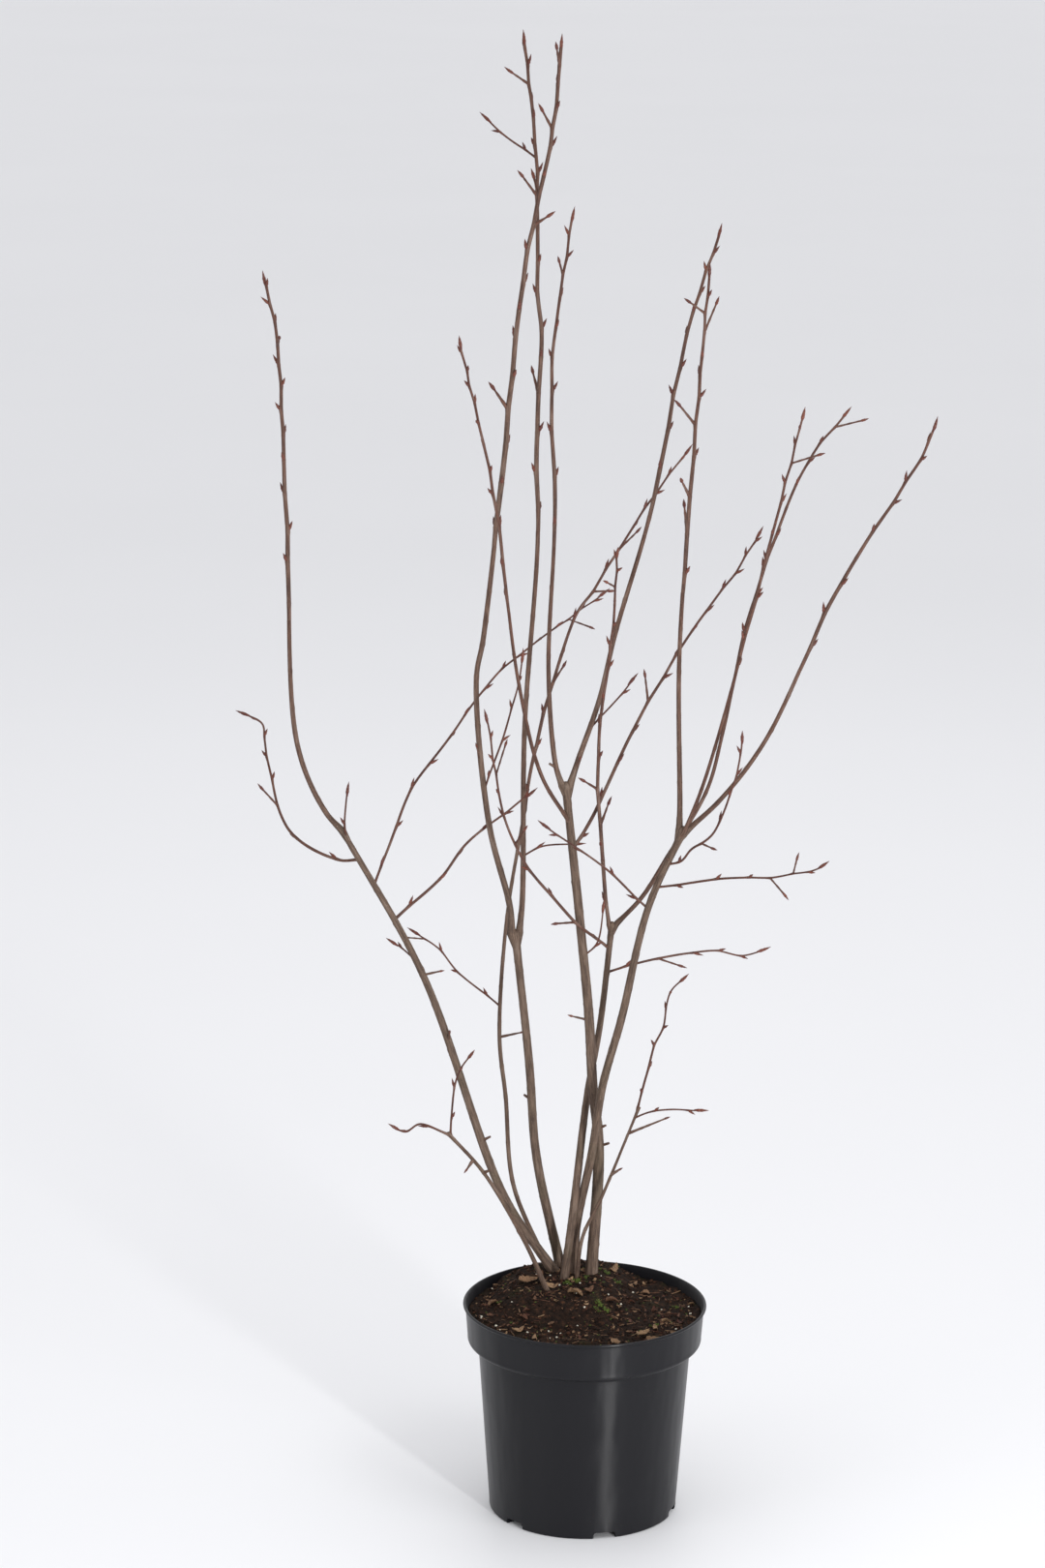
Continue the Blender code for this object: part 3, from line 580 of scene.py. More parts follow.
# %% Limbs
class Limb:
    """A tapering centre line."""

    def __init__(self, line, thick, foot=0.0, head=0.0):
        self.line = np.asarray(line)
        self.run = runs_along(self.line)
        self.length = self.run[-1]
        self.thick, self.foot, self.head = thick, foot, head

    def at(self, run):
        return np.array([np.interp(run, self.run, self.line[:, k]) for k in range(3)])

    def level(self, up):
        """The number of the line's point that is nearest to a height."""
        return int(np.argmin(np.abs(self.line[:, 2] - up)))

    def toward(self, run):
        ahead = self.at(min(run + LINE_STEP, self.length)) - self.at(max(run - LINE_STEP, 0.0))
        return ahead / np.linalg.norm(ahead)

    def radius(self, run):
        root, end = self.thick
        swell = self.foot * math.exp(-run / 14) + self.head * math.exp((run - self.length) / 9)
        return (root + (end - root) * run / self.length + swell) / 2

    def part(self, start, end):
        inside = (self.run > start) & (self.run < end)
        line = np.vstack([self.at(start), self.line[inside], self.at(end)])
        return Limb(line, (2 * self.radius(start), 2 * self.radius(end)))


# %% Lay out the limbs
def lay_out_limbs():
    """Every limb by its node's name, and each shoot's whole line."""
    limbs, axes = {}, {}
    for name, row in STEMS.items():
        axes[name] = limbs[name] = Limb(smooth_line(row["route"]), row["thick"], row["foot"], row["head"])
    for name, row in SHOOTS.items():
        parent, route = axes[row["on"]], row["route"]
        if row["at"]:
            route = [tuple(parent.line[parent.level(row["at"])])] + route
        axes[name] = whole = Limb(smooth_line(route), row["thick"])
        split = whole.length * row["bough"]
        if split > 0:
            limbs["bough_" + name] = whole.part(0.0, split)
        limbs["twigs_" + name] = whole.part(split, whole.length)
    return limbs, axes


limbs, axes = lay_out_limbs()
print("limbs:", len(limbs), "all in the frame:", all(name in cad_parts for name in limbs))


# %% Grow the buds
def is_clear(points, name):
    for other, limb in limbs.items():
        if other == name:
            continue
        for point in points:
            away = np.linalg.norm(limb.line - point, axis=1)
            if away.min() < limb.radius(limb.run[int(away.argmin())]) + BUD_RADIUS + CLEARANCE:
                return False
    return True


def nodes_along(length, chance):
    low, high = NODE_STEP
    runs, run = [], low * chance.uniform(0.35, 0.6)
    while run < length - high * 0.6:
        runs.append(run)
        run += (low + (high - low) * run / length) * chance.uniform(0.8, 1.2)
    return runs


def grow(name, limb):
    """The seeded rule: where a leader bends at its nodes, and the bud or spur that each carries."""
    chance = random.Random(SEED + sum(ord(letter) for letter in name))
    heading = chance.uniform(0, 360)
    bends, growths = [], []
    for run in nodes_along(limb.length, chance):
        heading += NODE_TURN + chance.uniform(-20, 20)
        place, along, radius = limb.at(run), limb.toward(run), limb.radius(run)
        across = np.cross(along, (math.cos(math.radians(heading)), math.sin(math.radians(heading)), 0.3))
        across /= np.linalg.norm(across)
        bends.append((run, across))
        spur = chance.random() < SPUR_CHANCE and run > 30
        lean = math.radians(chance.uniform(*(SPUR_LEAN if spur else BUD_LEAN)))
        toward = along * math.cos(lean) + across * math.sin(lean)
        reach = min(chance.uniform(*SPUR_LENGTH), SPACE) if spur else 0.0
        length = chance.uniform(*BUD_LENGTH) * (0.72 + 0.1 * radius)
        root = place + across * (ZIGZAG + radius * 0.5)
        tip = root + toward * (reach + length)
        if is_clear([root + (tip - root) * share for share in (0.3, 0.65, 1.0)], name):
            growths.append((root, toward, reach, length, radius))
    return bends, growths


crown = {name: grow(name, limb) for name, limb in limbs.items() if name.startswith("twigs_")}
print("buds and spurs:", sum(len(growths) for _, growths in crown.values()))

# %% [markdown]
# ## Bark as a mesh
# A limb is a round tube that tapers, but bark is never round: it has low ribs that run up the limb,
# pores, ring-shaped scars where last year's bud stood, and a swollen cushion under each bud. One
# function makes a tube from rings along a line and presses all of that into its radius. Every corner
# also keeps its own place on the bark, round and along, for the finish to follow.


# %% Frames along a line
def ring_frames(line):
    """Two directions across a line at each point, carried along it without twist."""
    ahead = np.gradient(line, axis=0)
    ahead /= np.linalg.norm(ahead, axis=1)[:, None]
    side = np.cross(ahead[0], (0.37, -0.82, 0.43))
    sides = []
    for toward in ahead:
        side = side - toward * side.dot(toward)
        side /= np.linalg.norm(side)
        sides.append(side)
    sides = np.array(sides)
    return ahead, sides, np.cross(ahead, sides)


# %% Heap of corners
class Heap:
    """Corners, faces and the values they carry, gathered for one joined mesh."""

    def __init__(self):
        self.places, self.faces, self.grain, self.age, self.count = [], [], [], [], 0

    def add(self, places, faces, grain, age):
        self.faces += [tuple(int(k) + self.count for k in face) for face in faces]
        self.places.append(places)
        self.grain.append(grain)
        self.age.append(age)
        self.count += len(places)

    def solid(self, name):
        item = solid_from(name, np.vstack(self.places) * MM, self.faces)
        carry(item, "grain", "FLOAT_VECTOR", np.vstack(self.grain))
        carry(item, "age", "FLOAT", np.concatenate(self.age))
        return item


# %% Ripples and tubes
def ripple(turn, run, seed, count, rounds, pitch):
    """A seamless sum of waves round and along a limb, between about -1 and 1."""
    chance = random.Random(seed)
    total = np.zeros(np.broadcast(turn, run).shape)
    for _ in range(count):
        phase = chance.randint(*rounds) * turn + run * chance.uniform(*pitch) + chance.uniform(0, 6.3)
        total += np.sin(phase)
    return total / count * 1.6


def swelling(away, turn, facing, all_round):
    """Full on the side that it faces, shallow all round, and fading along the limb."""
    return np.exp(-away ** 2) * (all_round + (1 - all_round) * np.clip(np.cos(turn - facing), 0, 1) ** 2)


def tube_faces(rings, sides):
    """A closed tube's faces: its wall ring by ring, then a fan at each end."""
    faces = []
    for ring in range(rings - 1):
        low, high = ring * sides, (ring + 1) * sides
        for k in range(sides):
            n = (k + 1) % sides
            faces.append((low + k, low + n, high + n, high + k))
    last, foot = (rings - 1) * sides, rings * sides
    for k in range(sides):
        n = (k + 1) % sides
        faces += [(n, k, foot), (last + k, last + n, foot + 1)]
    return faces


def tube(heap, line, radii, sides, relief, age, offset):
    """A closed tube through a line. relief(turn, run) gives how far the bark stands out, in millimetres."""
    run = runs_along(line)[:, None]
    turn = np.linspace(0, math.tau, sides, endpoint=False)[None, :]
    ahead, first, second = ring_frames(line)
    reach = np.asarray(radii)[:, None] + relief(turn, run)
    places = (line[:, None, :] + first[:, None, :] * (np.cos(turn) * reach)[:, :, None]
              + second[:, None, :] * (np.sin(turn) * reach)[:, :, None])
    places = np.vstack([places.reshape(-1, 3), line[0], line[-1] + ahead[-1] * radii[-1] * 0.5])
    middle = float(np.mean(radii))
    grain = np.stack(np.broadcast_arrays(np.cos(turn) * middle, np.sin(turn) * middle, run + offset), -1)
    grain = np.vstack([grain.reshape(-1, 3), (0, 0, offset), (0, 0, float(run[-1, 0]) + offset)])
    ages = np.broadcast_to(np.asarray(age, float).reshape(-1, 1), (len(line), sides)).ravel()
    heap.add(places, tube_faces(len(line), sides), grain, np.concatenate([ages, [ages[0], ages[-1]]]))


# %% [markdown]
# Old stems have low ribs, faint cross rings and pores. Scars stand every 26 to 55 mm, where a leaf and
# its bud once sat: a short raised ledge on one side of the stem.


# %% Bark relief
PORES_PER_MM = 0.35
SCAR_STEP = (26, 55)


def bark_relief(seed, length, rib, scar):
    chance = random.Random(seed)
    scars, run = [], chance.uniform(10, 40)
    while run < length - 8:
        scars.append((run, chance.uniform(0, math.tau), chance.uniform(0.6, 1.2) * scar))
        run += chance.uniform(*SCAR_STEP)
    pores = [(chance.uniform(0, length), chance.uniform(0, math.tau))
             for _ in range(int(length * PORES_PER_MM))]

    def relief(turn, run):
        out = ripple(turn, run, seed, 5, (2, 5), (-0.05, 0.05)) * rib
        out = out + ripple(turn, run, seed + 1, 7, (7, 12), (-0.25, 0.25)) * rib * 0.6
        for middle, facing, height in scars:
            near = np.abs(run[:, 0] - middle) < 9
            away = (run[near] - middle) / np.where(run[near] > middle, 1.3, 3.2)
            out[near] += height * swelling(away, turn, facing, 0.35)
        for middle, facing in pores:
            near = np.abs(run[:, 0] - middle) < 2.4
            aside = np.angle(np.exp(1j * (turn - facing)))
            out[near] += rib * 1.5 * np.exp(-((run[near] - middle) / 0.8) ** 2 - (aside / 0.22) ** 2)
        return out

    return relief


def resample(limb, step):
    runs = np.linspace(0, limb.length, max(4, round(limb.length / step)))
    return runs, np.array([limb.at(run) for run in runs])


OLD_RADIUS = 3.4
YOUNG_RADIUS = 0.9


def youth(radii):
    """0 on the thickest stems, 1 on last summer's growth."""
    return np.clip((OLD_RADIUS - np.asarray(radii)) / (OLD_RADIUS - YOUNG_RADIUS), 0, 1)


# %% [markdown]
# ## Stems
# Each stem is its own piece and stands for its own solid. It starts a little below the soil's crown,
# so no cut shows, and flares at the ground like the real ones. Its head swells under the fork and closes
# as a dome, and the boughs come out of that.

# %% Bark finish
OLD_LIGHT, OLD_DARK = rgb(0.160, 0.108, 0.078), rgb(0.052, 0.033, 0.024)
YOUNG_LIGHT, YOUNG_DARK = rgb(0.135, 0.050, 0.032), rgb(0.045, 0.015, 0.011)
BLOOM, ALGAE, PORE = rgb(0.190, 0.155, 0.130), rgb(0.085, 0.085, 0.045), rgb(0.220, 0.160, 0.115)


def make_bark(name, gloss):
    bark = Finish(name, gloss, specular=0.25)
    fine = bark.noise(bark.own("grain", (1.5, 1.5, 0.07)), 1.0, 4.0, 0.6)
    broad = bark.noise(bark.own("grain", (0.25, 0.25, 0.035)), 1.0, 3.0)
    patch = bark.noise(bark.place(), 26.0, 3.0)
    age = bark.own("age", output="Fac")
    pore = bark.cells(bark.own("grain", (0.62, 0.62, 0.26)), 1.0).ramp(0.24, 0.10)
    streak = (fine * 0.65 + broad * 0.35).ramp(0.36, 0.66)
    old = bark.mix(streak, OLD_DARK, OLD_LIGHT)
    green = patch.ramp(0.50, 0.66) * bark.axis(bark.place(), "Z").ramp(0.62, 0.26) * 0.2
    old = bark.mix(green, old, ALGAE)
    young = bark.mix(streak, YOUNG_DARK, YOUNG_LIGHT)
    skin = bark.mix(age, old, young)
    skin = bark.mix(broad.ramp(0.54, 0.72) * 0.32, skin, BLOOM)
    bark.link("Base Color", bark.mix(pore * 0.45, skin, PORE))
    bark.link("Roughness", fine * 0.25 + gloss - 0.1)
    bark.bump(fine * 0.7 + pore * 0.5, 0.0004)
    return bark


stem_bark = make_bark("stem_bark", 0.68)
shoot_bark = make_bark("shoot_bark", 0.52)

# %% Stem pieces
STEM_SIDES = 22
RING_STEP = 2.2
BURIED = 5.0
FOOT_SPREAD = 0.6
HEAD_TRIM = 0.45
DOME_RISE = 0.8
DOME_TURNS = np.radians(np.linspace(15, 80, 6))
STEM_RIB, STEM_SCAR, STEM_YOUTH = 0.05, 0.45, 0.3


def head_trim(limb, run):
    """How much slimmer the bark's head is than the plain solid's, as the boughs' roots fill it out."""
    return HEAD_TRIM * limb.head / 2 * math.exp((run - limb.length) / 9)


def bark_piece(name, slot, line, radii, sides, relief, age, offset):
    """One limb's bark as a piece of its own, which stands for the limb's solid."""
    heap = Heap()
    tube(heap, line, radii, sides, relief, age, offset)
    dress(heap.solid(name + "_bark"), stem_bark, slot, name)
    print(name, round(limbs[name].length), "mm,", len(line), "rings")


for number, name in enumerate(STEMS):
    limb = limbs[name]
    runs, line = resample(limb, RING_STEP)
    radii = [limb.radius(0) + FOOT_SPREAD] + [limb.radius(run) - head_trim(limb, run) for run in runs]
    end, ahead, last = limb.at(limb.length), limb.toward(limb.length), radii[-1]
    dome = [end + ahead * last * DOME_RISE * math.sin(turn) for turn in DOME_TURNS]
    line = np.vstack([limb.at(0) - limb.toward(0) * BURIED, line, *dome])
    radii += [last * math.cos(turn) for turn in DOME_TURNS]
    relief = bark_relief(100 + number, limb.length, STEM_RIB * limb.thick[0] ** 0.5, STEM_SCAR)
    bark_piece(name, "old_bark", line, radii, STEM_SIDES, relief, STEM_YOUTH * youth(radii), number * 700.0)

# %% [markdown]
# ## Boughs
# A bough is one tapering limb from its fork to where the mass of twigs begins. Its root runs into the
# stem, with a thickened collar, which is how a real fork closes. The real wood doesn't stop where the
# mass begins, so the bough's end is sunk in the shoot that carries on from it.

# %% Bough pieces
BOUGH_SIDES = 18
COLLAR = 0.45
FORK_DEPTH = 3.2
BOUGH_RIB, BOUGH_SCAR = 0.07, 0.4


def rooted(name, limb, step):
    """A limb's line and radii, with a collar at its root. At a fork the line starts inside the stem."""
    row = SHOOTS[name.split("_", 1)[1]]
    runs, line = resample(limb, step)
    radii = np.array([limb.radius(run) for run in runs])
    if name.startswith("twigs_") and row["bough"] > 0:
        return line, radii
    radii = radii * (1 + COLLAR * np.exp(-runs / (1.6 * limb.thick[0])))
    if not row["at"]:
        parent = axes[row["on"]]
        deep = parent.at(parent.length - FORK_DEPTH * limb.thick[0])
        shares = np.linspace(0, 1, 7)[:-1, None]
        line = np.vstack([deep + (line[0] - deep) * shares, line])
        radii = np.concatenate([radii[0] * (0.62 + 0.38 * shares[:, 0]), radii])
    return line, radii


for number, name in enumerate(name for name in limbs if name.startswith("bough_")):
    limb = limbs[name]
    line, radii = rooted(name, limb, RING_STEP)
    line = np.vstack([line, limb.at(limb.length) + limb.toward(limb.length) * 0.5])
    radii = np.append(radii, radii[-1] * 0.9)
    relief = bark_relief(300 + number, limb.length, BOUGH_RIB, BOUGH_SCAR)
    bark_piece(name, "young_bark", line, radii, BOUGH_SIDES, relief, youth(radii), number * 900.0)

# %% [markdown]
# ## Shoots and spurs
# Last year's growth is slender, red-brown and knobbly: it bends a little at each bud and swells into a
# cushion there. All shoots are joined into one mesh, as are the buds, because hundreds of loose objects
# would slow everything down and gain nothing.

# %% Shoots
SHOOT_SIDES = 12
SHOOT_STEP = 1.8
CUSHION = 0.55
END_TRIM = 9.0
FATTER = 1.22


def shoot_line(name, limb, bends):
    """The shoot's line with its zigzag, its radii and the swellings under its buds."""
    line, radii = rooted(name, limb, SHOOT_STEP)
    along = runs_along(line)
    along += limb.length - along[-1]
    knots = [(-10.0, np.zeros(3))] + bends + [(limb.length + 10, np.zeros(3))]
    places = np.array([knot[0] for knot in knots])
    shifts = np.array([knot[1] * ZIGZAG for knot in knots])
    line = line + np.stack([np.interp(along, places, shifts[:, k]) for k in range(3)], 1)
    radii = radii * np.interp(along, [0.0, 60.0], [1.0, FATTER])
    kept = along < limb.length - END_TRIM
    return line[kept], radii[kept], along[kept]


shoots = Heap()
for number, (name, (bends, _)) in enumerate(crown.items()):
    line, radii, along = shoot_line(name, limbs[name], bends)
    frames = ring_frames(line)

    def relief(turn, run, bends=bends, along=along, frames=frames, number=number):
        out = ripple(turn, run, 500 + number, 5, (2, 6), (-0.3, 0.3)) * 0.045
        for middle, across in bends:
            near = np.abs(along - middle) < 8
            away = (along[near, None] - middle) / np.where(along[near, None] > middle, 1.2, 3.4)
            facing = np.arctan2(frames[2][near] @ across, frames[1][near] @ across)[:, None]
            out[near] += CUSHION * swelling(away, turn, facing, 0.3)
        return out

    tube(shoots, line, radii, SHOOT_SIDES, relief, youth(radii), number * 600.0)
print("shoots laid:", len(crown))

# %% [markdown]
# A spur is a short stubby twig. Each year adds only a few millimetres to it, and leaves a crowd of
# rings, so it looks like a stack of beads with one fat bud on top. The stems carry a few dead stubs too.


# %% Spurs
def spur_relief(seed):
    def relief(turn, run):
        beads = 0.22 * np.abs(np.sin(run / 3.1 + seed)) ** 3
        return ripple(turn, run, seed, 4, (2, 5), (-0.3, 0.3)) * 0.05 + beads
    return relief


STUBS = (
    ("stem_left", 494, (0.1, -0.6, 0.8), 9.0), ("stem_left", 380, (0.7, -0.4, 0.5), 8.0),
    ("stem_left", 566, (0.9, -0.3, 0.3), 15.0), ("stem_sweeping", 480, (0.9, -0.3, 0.3), 22.0),
    ("stem_middle", 512, (-0.9, -0.3, 0.3), 14.0), ("stem_middle", 372, (0.9, -0.3, 0.4), 7.0),
    ("stem_middle", 392, (0.8, -0.5, 0.5), 6.0), ("stem_low_left", 381, (-0.5, -0.3, -0.7), 9.0),
    ("stem_low_left", 366, (0.8, -0.4, 0.5), 7.0), ("stem_low_right", 352, (0.7, -0.4, 0.6), 9.0),
    ("stem_low_right", 399, (0.88, -0.2, 0.45), 42.0), ("stem_right", 700, (-0.3, -0.9, 0.4), 4.0),
    ("stem_tall", 420, (-0.8, 0.5, 0.4), 6.0), ("stem_inner", 350, (0.2, 0.9, 0.4), 7.0),
    ("bough_tall_left", 793, (-0.2, -0.3, 0.9), 18.0), ("bough_middle_left", 792, (-0.8, -0.2, 0.5), 6.0),
    ("bough_middle_right", 792, (0.3, -0.5, 0.8), 9.0),
)
SPUR_SIDES = 10
STUB_RINGS, STUB_YOUTH = 12, 0.45
SPUR_RINGS, SPUR_YOUTH, SPUR_TIP = 14, 0.8, 0.85
tips = []
for number, (name, up, toward, reach) in enumerate(STUBS):
    limb = limbs[name]
    k = limb.level(up)
    toward = np.array(toward) / np.linalg.norm(toward)
    thick = 1.3 if reach < 12 else 1.0
    line = limb.line[k] + toward * np.linspace(0, limb.radius(limb.run[k]) + reach, STUB_RINGS)[:, None]
    tube(shoots, line, np.linspace(thick * 1.5, thick * 0.8, STUB_RINGS), SPUR_SIDES,
         spur_relief(700 + number), [STUB_YOUTH] * STUB_RINGS, number * 50.0)
    if reach > 8:
        tips.append((line[-1], toward, 6.5, 1.2))

for number, (_, growths) in enumerate(crown.values()):
    for root, toward, reach, _, radius in growths:
        if reach:
            line = root + toward * np.linspace(-radius * 0.5, reach, SPUR_RINGS)[:, None]
            tube(shoots, line, np.linspace(radius, SPUR_TIP, SPUR_RINGS), SPUR_SIDES,
                 spur_relief(number), [SPUR_YOUTH] * SPUR_RINGS, number * 50.0)
shoots_piece = shoots.solid("shoots_and_spurs")
dress(shoots_piece, shoot_bark, "twigs_and_buds", *crown)
print("shoots have", len(shoots_piece.data.polygons), "faces")

# %% [markdown]
# ## Buds
# Juneberry buds are the plant's mark in winter: slim, pointed, a little curved towards the shoot, and
# wrapped in dark red scales with paler edges. One bud is modelled from rings, each scale's lip standing
# a hair proud of the next, and then laid along every growth at its own length.

# %% One bud
BUD_SIDES = 10
BUD_PROFILE = ((-0.16, 0.50), (0.0, 0.74), (0.12, 0.95), (0.24, 1.04), (0.25, 0.94), (0.38, 0.98),
               (0.50, 0.88), (0.51, 0.78), (0.64, 0.66), (0.76, 0.48), (0.77, 0.41), (0.88, 0.24),
               (0.96, 0.09))
BUD_LIPS = (0.25, 0.51, 0.77)
BUD_CURVE = 0.10


def bud_places(length, radius, turn):
    """Corners of one bud along +Z from its root, its scales turned by the given angle."""
    rows = []
    for number, (share, width) in enumerate(BUD_PROFILE):
        angles = np.linspace(0, math.tau, BUD_SIDES, endpoint=False)
        lip = 1 + 0.07 * np.cos(2 * (angles - turn) + number * 1.3)
        bend = BUD_CURVE * length * share * share
        rows.append(np.stack([np.cos(angles) * width * radius * lip - bend * 0.6,
                              np.sin(angles) * width * radius * lip, np.full(BUD_SIDES, share * length)], 1))
    return np.vstack(rows + [[(0, 0, BUD_PROFILE[0][0] * length)], [(-BUD_CURVE * length * 0.6, 0, length)]])


# %% All buds
BUD_THICK = 1.75
LONGER = 1.18
bud_faces = tube_faces(len(BUD_PROFILE), BUD_SIDES)
edge = np.array([1.0 if share in BUD_LIPS else 0.0 for share, _ in BUD_PROFILE])
edge = np.concatenate([np.repeat(edge, BUD_SIDES), [0.0, 0.3]])
along_bud = np.concatenate([np.repeat([share for share, _ in BUD_PROFILE], BUD_SIDES), [0.0, 1.0]])
buds = Heap()
chance = random.Random(9)


def add_bud(root, toward, length, thick):
    turn = Matrix.Rotation(chance.uniform(0, 6.28), 3, "Z")
    turn = Vector(toward).to_track_quat("Z", "X").to_matrix() @ turn
    places = bud_places(length, thick, chance.uniform(0, 3.1))
    places = places @ np.array(turn).T + np.asarray(root)
    tint = chance.uniform(0, 1)
    grain = np.stack([np.full(len(places), tint), edge, along_bud], 1)
    buds.add(places, bud_faces, grain, np.full(len(places), tint))


for name, (_, growths) in crown.items():
    limb = limbs[name]
    for root, toward, reach, length, radius in growths:
        add_bud(root + toward * (reach + (0.0 if reach else radius * 0.45)), toward, length * LONGER,
                BUD_THICK * (0.60 + 0.22 * radius))
    end = limb.length - END_TRIM
    ahead = limb.toward(end)
    add_bud(limb.at(end) - ahead * 1.2, ahead, BUD_LENGTH[1] * TIP_BUD, BUD_THICK * 0.98)
for tip in tips:
    add_bud(*tip)
print("buds laid:", sum(len(growths) for _, growths in crown.values()) + len(crown) + len(tips))

# %% Bud finish
scale = Finish("bud_scales", 0.42, specular=0.3)
traits, lips, along = (scale.axis(scale.own("grain"), letter) for letter in "XYZ")
mottle = scale.noise(scale.place(), 700.0, 3.0)
red = scale.mix(traits, rgb(0.070, 0.015, 0.012), rgb(0.135, 0.036, 0.022))
red = scale.mix(along.ramp(0.35, 1.0) * 0.5, red, rgb(0.045, 0.012, 0.011))
red = scale.mix(mottle.ramp(0.5, 0.7) * 0.35, red, rgb(0.15, 0.055, 0.030))
scale.link("Base Color", scale.mix(lips * 0.45, red, rgb(0.17, 0.085, 0.052)))
scale.link("Roughness", mottle * 0.3 + 0.3)
scale.bump(mottle, 0.00025)
buds_piece = buds.solid("winter_buds")
dress(buds_piece, scale, "twigs_and_buds")
print("buds have", len(buds_piece.data.polygons), "faces")

# %% [markdown]
# ## Soil
# The soil is heaped round the crown and lower at the wall. A disc of rings takes that height, and
# layers of noise break it into crumbs, clods and hollows. It stands for the solid plug. Loose litter
# fills the low ground near the wall a little more than the plug does.

# %% Soil height
SOIL_EDGE = 209.0
SOIL_BACK = 218.0
CROWN_LINE = ((-28, 25), (-18, 92))
CROWN_FLAT = 39.0
CROWN_FALL = 44.0
SOIL_RADIUS = 122.2
SKIRT_DEPTH = 14.0
SKIRT_SHARE = 0.985
LITTER_DEPTH = 5.5


def soil_height(across, depth):
    (ax, ay), (bx, by) = CROWN_LINE
    length2 = (bx - ax) ** 2 + (by - ay) ** 2
    share = min(1.0, max(0.0, ((across - ax) * (bx - ax) + (depth - ay) * (by - ay)) / length2))
    away = math.hypot(across - ax - share * (bx - ax), depth - ay - share * (by - ay))
    fall = min(1.0, max(0.0, (away - CROWN_FLAT) / CROWN_FALL))
    heap = SOIL_EDGE + (CROWN_TOP - SOIL_EDGE) * (1 - fall * fall * (3 - 2 * fall))
    litter = LITTER_DEPTH * (CROWN_TOP - heap) / (CROWN_TOP - SOIL_EDGE)
    return min(heap + litter, SOIL_BACK + COLLAR_TOP_RADIUS - WALL - GAP - math.hypot(across, depth))


def crumbs(across, depth):
    """How far crumbs and clods stand out at a spot, in millimetres."""
    spot = Vector((across, depth, 0))
    clod = noise.noise(spot / 19) * 2.4 + noise.noise(spot / 7.5 + Vector((9, 0, 0))) * 1.5
    lump = 1.0 - noise.voronoi(spot / 3.1)[0][0] * 1.5
    grit = noise.noise(spot / 1.6) * 0.5
    return clod + lump * 0.9 + grit


# %% Soil disc
SOIL_RINGS = 100
SOIL_TURNS = 300

places = [(0.0, 0.0, soil_height(0, 0) + crumbs(0, 0))]
for ring in range(1, SOIL_RINGS + 1):
    radius = SOIL_RADIUS * (ring / SOIL_RINGS)
    for k in range(SOIL_TURNS):
        turn = math.tau * k / SOIL_TURNS
        x, y = radius * math.cos(turn), radius * math.sin(turn)
        places.append((x, y, soil_height(x, y) + crumbs(x, y)))
foot = len(places)
skirt = SOIL_EDGE - SKIRT_DEPTH
places += [(x * SKIRT_SHARE, y * SKIRT_SHARE, skirt) for x, y, _ in places[-SOIL_TURNS:]]
places.append((0.0, 0.0, skirt))
faces = [(0, 1 + k, 1 + (k + 1) % SOIL_TURNS) for k in range(SOIL_TURNS)]
for ring in range(SOIL_RINGS):
    inner, outer = 1 + ring * SOIL_TURNS, 1 + (ring + 1) * SOIL_TURNS
    for k in range(SOIL_TURNS):
        n = (k + 1) % SOIL_TURNS
        faces.append((inner + k, outer + k, outer + n, inner + n))
faces += [(foot + (k + 1) % SOIL_TURNS, foot + k, len(places) - 1) for k in range(SOIL_TURNS)]
soil = solid_from("soil_crumbs", np.array(places) * MM, faces)

# %% [markdown]
# The peat is dark brown on its crumbs. Painted shade makes it nearly black in its hollows, where the same
# noise sinks the bump. It has rusty bark fibres and a green film of algae in places.

# %% Soil finish
# The first colour is the peat darkened by painted shade, for the hollows. The second is the crumbs' own
# brown.
PEAT_IN_PAINTED_SHADE, PEAT_HIGH = rgb(0.0045, 0.0028, 0.0022), rgb(0.030, 0.016, 0.010)

earth = Finish("damp_soil_painted_shade", 0.9, specular=0.12)
tiny = earth.noise(earth.place(), 900.0, 4.0, 0.6)
mid = earth.noise(earth.place(), 190.0, 4.0, 0.6)
wide = earth.noise(earth.place(), 38.0, 3.0)
# Painted shade: this mix goes to the darkest peat where the noise is low, which is where the bump below
# sinks.
brown = earth.mix((tiny * 0.5 + mid * 0.5).ramp(0.36, 0.66), PEAT_IN_PAINTED_SHADE, PEAT_HIGH)
brown = earth.mix(mid.ramp(0.58, 0.70) * 0.7, brown, rgb(0.090, 0.036, 0.017))
brown = earth.mix(wide.ramp(0.57, 0.70) * tiny.ramp(0.45, 0.6) * 0.5, brown, rgb(0.040, 0.046, 0.014))
earth.link("Base Color", brown)
earth.bump(tiny * 0.5 + mid, 0.0012)
dress(soil, earth, "potting_soil", "soil")
print("soil has", len(soil.data.polygons), "faces")

# %% [markdown]
# ## Litter on the soil
# Crumbs, dry leaves, bits of twig, perlite and moss lie on the soil. Each is modelled in a few
# forms and laid again and again by a seeded rule, resting on the height at its own spot.


# %% Scatter helpers
LITTER_EDGE = 118.0


def joined(name, templates, spots, finish):
    """One mesh of many copies. A spot holds a template's number, a matrix in metres and a tone."""
    places, faces, tints, count = [], [], [], 0
    for kind, matrix, tint in spots:
        corners, sides = templates[kind]
        turned = corners @ np.array(matrix.to_3x3()).T + np.array(matrix.translation)
        places.append(turned)
        faces += [tuple(k + count for k in side) for side in sides]
        tints += [tint] * len(corners)
        count += len(corners)
    item = solid_from(name, np.vstack(places), faces)
    carry(item, "tone", "FLOAT", tints)
    dress(item, finish, "potting_soil")
    print(name, "has", len(spots), "copies and", len(item.data.polygons), "faces")


def template(item):
    """Take an object's corners and faces, and remove it."""
    corners = np.array([tuple(vertex.co) for vertex in item.data.vertices])
    sides = [tuple(face.vertices) for face in item.data.polygons]
    bpy.data.objects.remove(item, do_unlink=True)
    return corners, sides


